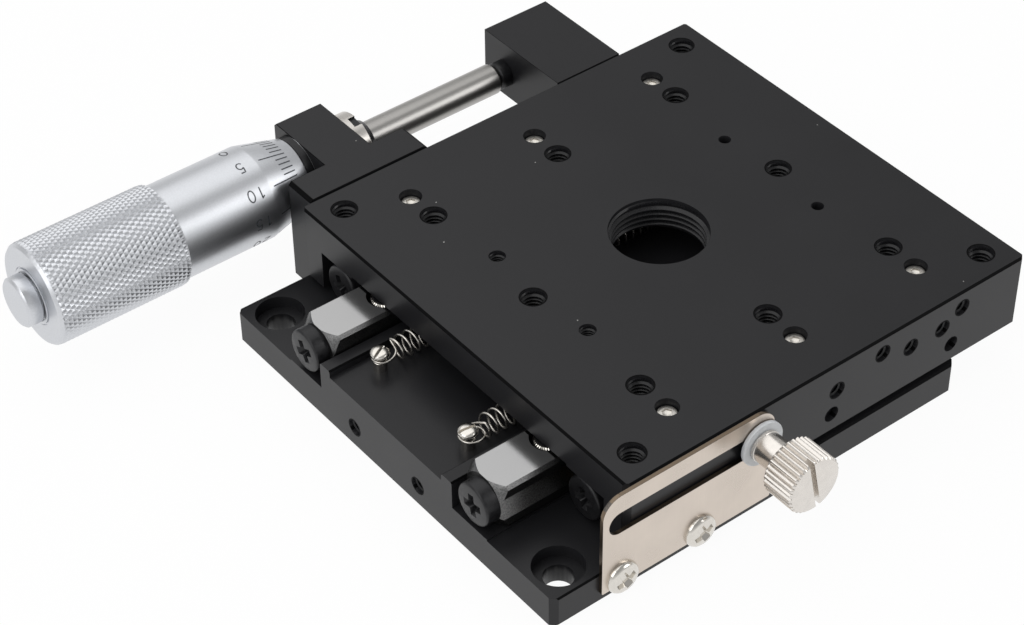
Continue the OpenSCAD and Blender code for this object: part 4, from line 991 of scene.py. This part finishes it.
class STAGE_OT_springs(bpy.types.Operator):
    """Wind the springs and turn their posts"""

    bl_idname = "stage.springs"
    bl_label = "Springs"

    def execute(self, context):
        colours, sizes = settings("colours"), settings("springs")
        wire = plated_steel(colours.wire, "drawn_spring_wire", 0.24)
        bright = plated_steel(colours.bright, "turned_post_steel", 0.18)
        for side, name in ((-1, "front"), (1, "rear")):
            self.wind(name, side, wire, sizes)
        self.posts("base_spring_posts", "root", BASE_POST_X, 1, bright)
        self.posts("table_spring_posts", "table", TABLE_POST_X, -1, bright)
        return {"FINISHED"}

    def wind(self, name, side, wire, sizes):
        """One spring: a hook on the base plate, a coil that stretches and a hook on the table."""
        node = "spring_" + name
        near = Vector((BASE_POST_X, side * POST_Y, sizes.height / MM)) * MM
        far = Vector((TABLE_POST_X, side * POST_Y, sizes.height / MM)) * MM
        lead, phase = COIL_STARTS[name]
        start = near.x + lead * MM
        end = far.x - sizes.tail
        radius = sizes.coil / 2
        first = math.radians(phase)
        turns = sizes.turns + (450 - phase) / 360

        def on_coil(share):
            angle = first + math.tau * turns * share
            return Vector((
                start + (end - start) * share, near.y + radius * math.cos(angle), near.z + radius * math.sin(angle)
            ))

        steps = int(turns * 20)
        # The hook and the tail run along with the coil's wire for this share of it
        lap = 3 / steps
        hook = [near + Vector(point) * MM for point in (FRONT_HOOK if side < 0 else REAR_HOOK)]
        hook += [on_coil(lap * k / 6) for k in range(7)]
        coil = [on_coil(k / steps) for k in range(steps + 1)]
        last = on_coil(1)
        tail = [on_coil(1 - lap * k / 6) for k in range(6, -1, -1)]
        # From the last coil down into the axis, and along it to the post on the table
        tail += [last + Vector(point) * MM for point in ((0.7, -0.9, -0.3), (1.0, -1.0, -1.2), (1.4, -0.5, -2.2))]
        for along, across in ((-8.2, -0.05), (-6.4, 0), (-4.6, 0.05), (-3.1, 0.5)):
            tail.append(far + Vector((along, across, 0)) * MM)
        # The loop round the post's neck
        for k in range(13):
            angle = math.radians(150 - 22 * k)
            tail.append(far + Vector((-0.55 + 2.35 * math.cos(angle), 2.35 * math.sin(angle), 0)) * MM)
        half = sizes.wire / 2
        for part, path, body in (("hook", hook, "root"), ("coil", coil, "root"), ("tail", tail, "table")):
            smooth = coil if part == "coil" else through_points(path, 5)
            shape = Shape().add(*tube(smooth, half, 8))
            made = piece(f"{node}_{part}", shape, wire, body, 60, [node])
            if part == "coil":
                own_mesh(made)

    def posts(self, node, body, x, up, material):
        """Turned posts with a slotted head over a neck that holds the hook; up is 1 on the base plate."""
        low, high = box(node)
        stem, tall, head = POST
        neck = settings("screws").neck / MM
        foot = high.z - tall * MM if up > 0 else low.z + tall * MM
        # The stem and its neck, by how far each ring is under the top
        outline = [(0, 0), (stem, 0)]
        outline += [(r, tall - down) for r, down in ((stem, 3.1), (stem - 0.2, 2.9), (neck, 2.85), (neck, 1.75))]
        # The head, with a groove under its rim and a rounded top, by how far each ring is inside its rim
        outline += [(head - within, tall - down) for within, down in (
            (0.55, 1.6), (0.1, 1.45), (0.1, 1.2), (0.2, 1.12), (0, 1.0), (0, 0.75),
            (0.12, 0.5), (0.45, 0.22), (1.0, 0.07), (1.6, 0), (head, 0),
        )]
        slot = settings("screws").slot / MM
        turned_over = Matrix.Rotation(0 if up > 0 else math.pi, 4, "X")
        shape = Shape()
        for side in (-1, 1):
            turn = math.radians(-10 if side < 0 else 26)
            groove = wedge(head + 1, slot, tall + 1, tall - 0.75, 1, turn)
            seat = Matrix.Translation((x * MM, side * POST_Y * MM, foot)) @ turned_over
            shape.add(*carved(turned(outline, 64), groove), seat)
        piece(node.replace("spring_posts", "posts"), shape, material, body, 30, [node])


def thimble_point(t, radius, angle):
    """A point on the thimble by its distance behind the front edge, its radius, and its angle from +Y to the top."""
    return Vector((
        THIMBLE_HIGH.x - t, SPINDLE_AXIS.y + radius * math.cos(angle), SPINDLE_AXIS.z + radius * math.sin(angle)
    ))


def arc(x, y, rx, ry, first, last, steps=9):
    """Points on part of an ellipse, between two angles in degrees."""
    return [
        (x + rx * math.cos(math.radians(first + (last - first) * k / steps)),
         y + ry * math.sin(math.radians(first + (last - first) * k / steps)))
        for k in range(steps + 1)
    ]


# Where the black collar on the sleeve begins, in millimetres: painted shade, a dark ring in the shadowed gap between
# the thimble and the bracket
SLEEVE_SHADE_COLLAR = -28.7
# Strokes of the digits that the scales need, in a box 1 high and this wide
DIGIT_WIDTH = 0.56
DIGITS = {
    "0": [arc(0.28, 0.5, 0.28, 0.5, 0, 360, 20)],
    "1": [[(0.08, 0.8), (0.3, 1.0), (0.3, 0.0)]],
    "2": [arc(0.28, 0.74, 0.26, 0.26, 165, -35) + [(0.0, 0.0), (0.56, 0.0)]],
    "3": [arc(0.26, 0.76, 0.24, 0.24, 150, -90) + arc(0.26, 0.27, 0.28, 0.27, 90, -150, 12)],
    "4": [[(0.42, 0.0), (0.42, 1.0), (0.0, 0.28), (0.56, 0.28)]],
    "5": [[(0.5, 1.0), (0.1, 1.0), (0.04, 0.56)] + arc(0.26, 0.32, 0.28, 0.32, 130, -150, 14)],
}


class STAGE_OT_micrometer(bpy.types.Operator):
    """Make the micrometer head"""

    bl_idname = "stage.micrometer"
    bl_label = "Micrometer"

    def execute(self, context):
        colours, sizes = settings("colours"), settings("thimble")
        chrome = satin_chrome(colours.chrome)
        paint(chrome, "thimble_knob", "micrometer_sleeve")
        soften(0.12 * MM, "thimble_knob")
        self.body(chrome, sizes)
        ink = engraving_paint(colours.ink)
        self.scale(ink, sizes)
        self.sleeve(black_oxide(colours.black_steel), ink, sizes)
        paint(polished_steel(colours.spindle, "polished_spindle_steel", 0.34), "spindle")
        self.nut(plated_steel(colours.nut, "plated_nut_steel", 0.3), tapped_thread(colours.plate))
        return {"FINISHED"}

    def body(self, chrome, sizes):
        """The thimble and its closed end, turned from one bar with a knurled grip."""
        total = THIMBLE_HIGH.x - THIMBLE_LOW.x
        grip = sizes.bevel + sizes.smooth
        deep = sizes.grip_radius - sizes.knurl_depth
        step = sizes.knurl_pitch / 4
        first, last = grip + 0.3 * MM, total - sizes.chamfer - 0.05 * MM
        count = round((last - first) / step)
        columns = 4 * sizes.knurl_round
        knob = box("thimble_knob")[1].z - SPINDLE_AXIS.z
        bore, front, smooth = sizes.bore_radius, sizes.front_radius, sizes.smooth_radius
        # From the bore round the front edge, along the bevel and the smooth part, to the groove before the grip
        outline = [(total - sizes.cap, 0), (total - sizes.cap, bore), (0.15 * MM, bore), (0, bore + 0.1 * MM)]
        outline += [(0, front - 0.1 * MM), (0.12 * MM, front), (sizes.bevel, smooth), (sizes.bevel + 0.3 * MM, smooth)]
        outline += [(grip * 0.5, smooth), (grip - 0.05 * MM, smooth), (grip + 0.02 * MM, smooth - 0.3 * MM)]
        outline += [(grip + 0.2 * MM, smooth - 0.3 * MM), (grip + 0.23 * MM, deep)]
        start = len(outline)
        outline += [(first + (last - first) * i / count, deep) for i in range(count + 1)]
        # Over the rear chamfer to the collar, and inwards under the knob
        rim = sizes.grip_radius - sizes.chamfer
        outline += [(total - sizes.chamfer, deep + 0.1 * MM), (total - 0.06 * MM, rim), (total, rim - 0.12 * MM)]
        collar = sizes.collar_radius
        outline += [(total, collar + 0.35 * MM), (total - 0.2 * MM, collar + 0.25 * MM), (total - 0.2 * MM, collar)]
        outline += [(total + sizes.collar - 0.08 * MM, collar), (total + sizes.collar, collar - 0.1 * MM)]
        outline += [(total + sizes.collar, knob + 0.05 * MM), (total - 0.15 * MM, knob - 0.1 * MM)]
        outline.append((total - 0.15 * MM, 0))

        def height(row, column):
            """Height over the knurl's valleys, at a row and column a quarter of a diamond apart."""
            if not 0 <= row <= count:
                return 0
            across, along = ((column + row) / 4) % 1, ((column - row) / 4) % 1
            ridge = min(1 - abs(2 * across - 1), 1 - abs(2 * along - 1))
            fade = min(1, (row + 1) / 2, (count - row + 1) / 2)
            # The diamonds' points are worn flat at this share of their height
            flat = 0.8
            return min(ridge, flat) / flat * fade * sizes.knurl_depth

        points = [
            thimble_point(t, r + height(i - start, k), math.tau * k / columns)
            for i, (t, r) in enumerate(outline) for k in range(columns)
        ]
        faces = []
        for i in range(len(outline) - 1):
            for k in range(columns):
                here, right = i * columns + k, i * columns + (k + 1) % columns
                up, corner = here + columns, right + columns
                if not start <= i < start + count:
                    faces.append([here, right, corner, up])
                elif (i - start + k) % 2:
                    faces += [[here, right, up], [right, corner, up]]
                else:
                    faces += [[here, right, corner], [here, corner, up]]
        shape = Shape().add(points, faces)
        piece("thimble_body", shape, chrome, "thimble", 24, ["thimble", "thimble_end_cap"])

    def scale(self, paint_in, sizes):
        """Lines on the bevel and numbers behind it, as skins of paint."""
        shape = Shape()
        slope = (sizes.smooth_radius - sizes.front_radius) / sizes.bevel
        for k in range(sizes.divisions):
            angle = sizes.first_angle + math.tau * k / sizes.divisions
            reach = sizes.short_mark if k % 5 else sizes.long_mark
            rows = []
            for t in (sizes.mark_start, sizes.mark_start + reach):
                radius = sizes.front_radius + slope * t + PROUD
                for side in (-0.5, 0.5):
                    rows.append(thimble_point(t, radius, angle + side * sizes.mark_width / radius))
            shape.add(rows, [[0, 1, 3, 2]])
        over = sizes.smooth_radius + PROUD
        for k in range(0, sizes.divisions, 5):
            angle = sizes.first_angle + math.tau * k / sizes.divisions
            self.number(shape, k, sizes.digit_start, angle, over, sizes.digit_height, sizes.digit_advance)
        piece("thimble_scale", shape, paint_in, "thimble", 60)

    def sleeve(self, black, ink, sizes):
        """A black collar on the sleeve in front of the bracket, painted shade for the shadowed gap there, and the scale
        that the thimble uncovers.
        """
        outline = [(8.6, 0), (9.05, 0.05), (9.2, 0.15), (9.2, 2.1), (9.05, 2.2), (8.6, 2.25)]
        rings, faces = turned([(r * MM, z * MM) for r, z in outline], 96)
        seat = Matrix.Translation((SLEEVE_SHADE_COLLAR * MM, SPINDLE_AXIS.y, SPINDLE_AXIS.z)) @ ALONG_X
        piece("sleeve_shade_collar", Shape().add(rings, faces, seat), black, "root", 30)
        radius = box("micrometer_sleeve")[1].z - SPINDLE_AXIS.z + PROUD
        marks = round(travel("table_slide") / MM)
        shape = Shape()
        half = sizes.sleeve_width / 2
        strips = [(0.5 * MM, (marks + 0.5) * MM, -half, half)]
        for k in range(1, marks + 1):
            strips.append((k * MM - half, k * MM + half, 0, sizes.sleeve_short if k % 5 else sizes.sleeve_long))
        for t1, t2, low, high in strips:
            rows = []
            for k in range(5):
                angle = sizes.first_angle + (low + (high - low) * k / 4) / radius
                rows += [thimble_point(t, radius, angle) for t in (t1, t2)]
            shape.add(rows, grid_faces(5, 2))
        angle = sizes.first_angle + sizes.sleeve_offset / radius
        tall = sizes.sleeve_digits
        for k in range(5, marks + 1, 5):
            self.number(shape, k, k * MM, angle, radius, tall, 0.75 * tall)
        piece("sleeve_scale", shape, ink, "root", 60)

    def number(self, shape, value, at, angle, radius, tall, advance):
        """A number laid round the axis, with its middle this far behind the thimble's front edge."""
        digits = str(value)
        for i, digit in enumerate(digits):
            start = at + (i - (len(digits) - 1) / 2) * advance - DIGIT_WIDTH / 2 * tall
            for stroke in DIGITS[digit]:
                self.stroke(shape, stroke, start, angle, radius, tall)

    def stroke(self, shape, stroke, start, angle, radius, tall):
        """One stroke of a digit as a ribbon, in pieces short enough to follow the round."""
        width = settings("thimble").digit_stroke
        points = []
        for (x, y), (x2, y2) in zip(stroke, stroke[1:]):
            steps = max(1, math.ceil(math.hypot(x2 - x, y2 - y) * tall / (0.4 * MM)))
            points += [Vector((x + (x2 - x) * k / steps, y + (y2 - y) * k / steps)) for k in range(steps)]
        points.append(Vector(stroke[-1]))
        rows = []
        for i, here in enumerate(points):
            before, after = points[max(0, i - 1)], points[min(len(points) - 1, i + 1)]
            heading = (after - before).normalized()
            side = Vector((-heading.y, heading.x)) * width / tall / 2
            for point in (here - side, here + side):
                t = start + point.x * tall
                rows.append(thimble_point(t, radius, angle + (point.y - 0.5) * tall / radius))
        shape.add(rows, grid_faces(len(points), 2))

    def nut(self, material, black):
        """The clamp nut with its cone and its spanner slots."""
        low, high = box("clamp_nut")
        radius = (high.z - low.z) / 2 / MM
        nose, face = (high.x - low.x) / MM, 4.0
        bore = (box("spindle")[1].z - box("spindle")[0].z) / 2 / MM + 0.35
        outline = [(bore, 0), (radius - 0.3, 0), (radius, 0.3), (radius, face - 0.1), (radius - 0.1, face)]
        outline += [(6.1, face + 0.05), (5.0, nose - 0.1), (4.9, nose), (bore, nose)]
        cutters = []
        for k in range(2):
            angle = math.radians(101 + 180 * k)
            slot = wedge(1.0, 3.1, face + 1, face - 2.15, 1, angle)
            shift = Vector((math.cos(angle), math.sin(angle), 0)) * (radius + 0.2)
            cutters.append(([point + shift for point in slot[0]], slot[1]))
        seat = Matrix.Translation((low.x, SPINDLE_AXIS.y, SPINDLE_AXIS.z)) @ ALONG_X
        shape = Shape().add(*carved(turned(outline, 96), *cutters), seat)
        made = piece("clamp_nut_turned", shape, material, "root", 28, ["clamp_nut"])
        # The slots and the cone round the spindle are black: painted shade for the shadow in the slots and the dark
        # line between the nut and the spindle
        made.data.materials.append(black)
        for each in made.data.polygons:
            away = (Vector(each.center[1:]) - Vector(SPINDLE_AXIS[1:])).length / MM
            in_slot = radius - 0.95 < away < radius - 0.2 and each.center.x < high.x - 2.3 * MM
            each.material_index = int(in_slot or each.center.x > low.x + (face + 0.3) * MM)


class STAGE_OT_lock(bpy.types.Operator):
    """Finish the lock plate and its screw"""

    bl_idname = "stage.lock"
    bl_label = "Lock"

    def execute(self, context):
        colours = settings("colours")
        paint(nickel_sheet(colours.nickel), "lock_plate")
        soften(0.14 * MM, "lock_plate", edge=cut_edge(colours.nickel))
        self.screw(plated_steel(colours.turned, "turned_nickel_steel", 0.22), settings("screws"))
        paint(moulded_nylon(colours.washer), "lock_washer")
        soften(0.1 * MM, "lock_washer")
        return {"FINISHED"}

    def screw(self, material, sizes):
        """The knurled screw that locks the table, with a slot across its head."""
        low, high = box("lock_screw")
        head, tall = LOCK_HEAD
        neck, under = LOCK_NECK
        tip = (high.y - low.y) / MM
        back = tip - tall - under
        teeth = sizes.lock_teeth
        depth = sizes.lock_tooth / MM
        outline = [(0, 0), (1.1, 0), (1.42, 0.3), (1.42, back), (neck - 0.4, back), (neck, back + 0.2)]
        outline += [(neck, back + 0.9), (neck - 0.12, back + 1.0)]
        outline += [(neck - 0.12, tip - tall - 0.1), (head - 1.5, tip - tall), (head - 1.0, tip - tall + 0.05)]
        first = len(outline)
        outline += [(head, tip - tall + 0.7), (head, tip - 0.5)]
        outline += [(head - 0.55, tip - 0.06), (head - 0.7, tip), (0, tip)]

        def ripple(ring, segment):
            """Rounded teeth of six segments each, round the head."""
            return -depth * (abs((segment % 6) - 3) / 3) ** 2 if first <= ring < first + 2 else 0

        groove = wedge(head + 1, sizes.lock_slot / MM, tip + 1, tip - 2.2, 1, math.radians(102))
        body = carved(turned(outline, teeth * 6, ripple), groove)
        middle_at = (low + high) / 2
        shape = Shape().add(*body, Matrix.Translation((middle_at.x, high.y, middle_at.z)) @ TOWARDS_FRONT)
        piece("lock_screw_turned", shape, material, "lock_screw", 24, ["lock_screw"])


# Camera, from a fit to the photograph's holes and corners
CAMERA_AZIMUTH = -37.805
CAMERA_ELEVATION = 41.324
CAMERA_ROLL = -0.634
CAMERA_DISTANCE = 620.79 * MM
CAMERA_AIM = Vector((-14.76, 11.39, 16.0)) * MM
CAMERA_LENS = 93.74
CAMERA_SENSOR = 36
CAMERA_CLIP = (0.01, 10)
FLOOR_REACH = 3.0
# Name, place in metres, size in metres and power in watts
LAMPS = (
    ("top_softbox", (-0.1, 0.35, 0.9), (1.5, 1.2), 5.6),
    ("left_softbox", (-0.8, -0.1, 0.55), (0.6, 0.6), 2.0),
    ("right_softbox", (0.6, -0.7, 0.6), (0.6, 0.5), 2.4),
)


class STAGE_OT_studio(bpy.types.Operator):
    """Set up the floor, the lamps and the camera"""

    bl_idname = "stage.studio"
    bl_label = "Studio"

    def execute(self, context):
        scene = context.scene
        self.make_camera(scene)
        self.make_floor(scene)
        self.make_lamps(scene)
        self.make_world(scene)
        scene.view_settings.view_transform = "Standard"
        return {"FINISHED"}

    def make_camera(self, scene):
        """The camera that the photograph was taken with, as far as it can be found."""
        azimuth, elevation = math.radians(CAMERA_AZIMUTH), math.radians(CAMERA_ELEVATION)
        back = Vector((
            math.sin(azimuth) * math.cos(elevation), -math.cos(azimuth) * math.cos(elevation), math.sin(elevation)
        ))
        right = Vector((math.cos(azimuth), math.sin(azimuth), 0))
        up = back.cross(right)
        turn = Matrix((right, up, back)).transposed().to_4x4() @ Matrix.Rotation(math.radians(CAMERA_ROLL), 4, "Z")
        data = bpy.data.cameras.new("camera")
        data.lens = CAMERA_LENS
        data.sensor_width = CAMERA_SENSOR
        data.sensor_fit = "HORIZONTAL"
        data.clip_start, data.clip_end = CAMERA_CLIP
        camera = bpy.data.objects.new("camera", data)
        camera.matrix_world = Matrix.Translation(CAMERA_AIM + back * CAMERA_DISTANCE) @ turn
        scene.collection.objects.link(camera)
        scene.camera = camera

    def make_floor(self, scene):
        """A pale sheet that is nearly white to the camera and in reflections, with only soft shadows on it."""
        material, tree = new_material("studio_floor")
        rgb = opaque(settings("colours").floor)
        path = add(tree, "LightPath")
        rays = {0: path.outputs["Is Camera Ray"], 1: path.outputs["Is Glossy Ray"]}
        seen = add(tree, "Math", rays, operation="MAXIMUM")
        matte = add(tree, "BsdfDiffuse", {"Color": rgb})
        white = add(tree, "Emission", {"Color": (1, 1, 1, 1), "Strength": 1.0})
        glow = add(tree, "Math", {0: seen.outputs[0], 1: 0.95}, operation="MULTIPLY")
        mixed = add(tree, "MixShader", {0: glow.outputs[0], 1: matte.outputs[0], 2: white.outputs[0]})
        add(tree, "OutputMaterial", {"Surface": mixed.outputs[0]})
        corners = [(x * FLOOR_REACH, y * FLOOR_REACH, 0) for x, y in ((-1, -1), (1, -1), (1, 1), (-1, 1))]
        mesh = bpy.data.meshes.new("floor")
        mesh.from_pydata(corners, [], [(0, 1, 2, 3)])
        mesh.materials.append(material)
        floor = bpy.data.objects.new("floor", mesh)
        scene.collection.objects.link(floor)

    def make_lamps(self, scene):
        """Soft boxes, aimed at the table."""
        for name, place_at, size, power in LAMPS:
            data = bpy.data.lights.new(name, "AREA")
            data.shape = "RECTANGLE"
            data.size, data.size_y = size
            data.energy = power
            lamp = bpy.data.objects.new(name, data)
            lamp.matrix_world = facing(place_at, Vector(place_at) - TABLE_MIDDLE)
            scene.collection.objects.link(lamp)

    def make_world(self, scene):
        """A white surround that is plain white to the camera and dimmer where it lights the stage."""
        world = bpy.data.worlds.new("studio")
        scene.world = world
        world.use_nodes = True
        tree = world.node_tree
        tree.nodes.clear()
        path = add(tree, "LightPath")
        rays = {0: path.outputs["Is Camera Ray"], 1: path.outputs["Is Transmission Ray"]}
        seen = add(tree, "Math", rays, operation="MAXIMUM")
        # The white surround is brightest at the horizon
        up = add(tree, "SeparateXYZ", {"Vector": add(tree, "TexCoord").outputs["Generated"]})
        sky = add(tree, "MapRange", {"Value": up.outputs["Z"], "From Max": 0.6, "To Min": 0.8, "To Max": 0.4})
        strength = add(tree, "MapRange", {"Value": seen.outputs[0], "To Min": sky.outputs["Result"], "To Max": 1.0})
        background = add(tree, "Background", {"Color": (1, 1, 1, 1), "Strength": strength.outputs["Result"]})
        add(tree, "OutputWorld", {"Surface": background.outputs[0]})


class STAGE_PT_panel(bpy.types.Panel):
    """The stage's steps and settings"""

    bl_idname = "STAGE_PT_panel"
    bl_label = "Manual linear stage"
    bl_space_type = "VIEW_3D"
    bl_region_type = "UI"
    bl_category = "Stage"

    def draw(self, context):
        for step in STEPS:
            self.layout.operator(step.bl_idname)
        for name in GROUPS:
            group = settings(name)
            column = self.layout.column(heading=name.capitalize())
            for key in group.__annotations__:
                column.prop(group, key)


GROUPS = {
    "threads": StageThreads,
    "thimble": StageThimble,
    "springs": StageSprings,
    "screws": StageScrews,
    "colours": StageColours,
}
STEPS = (
    STAGE_OT_plates,
    STAGE_OT_threads,
    STAGE_OT_rails,
    STAGE_OT_screws,
    STAGE_OT_springs,
    STAGE_OT_micrometer,
    STAGE_OT_lock,
    STAGE_OT_studio,
)
CLASSES = (*GROUPS.values(), *STEPS, STAGE_PT_panel)


def register():
    """Adds the classes and the settings."""
    for each in CLASSES:
        bpy.utils.register_class(each)
    for name, group in GROUPS.items():
        setattr(bpy.types.Scene, "stage_" + name, PointerProperty(type=group))


def unregister():
    """Takes the settings and the classes away."""
    for name in GROUPS:
        delattr(bpy.types.Scene, "stage_" + name)
    for each in reversed(CLASSES):
        bpy.utils.unregister_class(each)


def main():
    """Dresses the stage."""
    register()
    for step in STEPS:
        area, name = step.bl_idname.split(".")
        getattr(getattr(bpy.ops, area), name)()
    bpy.context.view_layer.update()


if __name__ == "__main__":
    main()
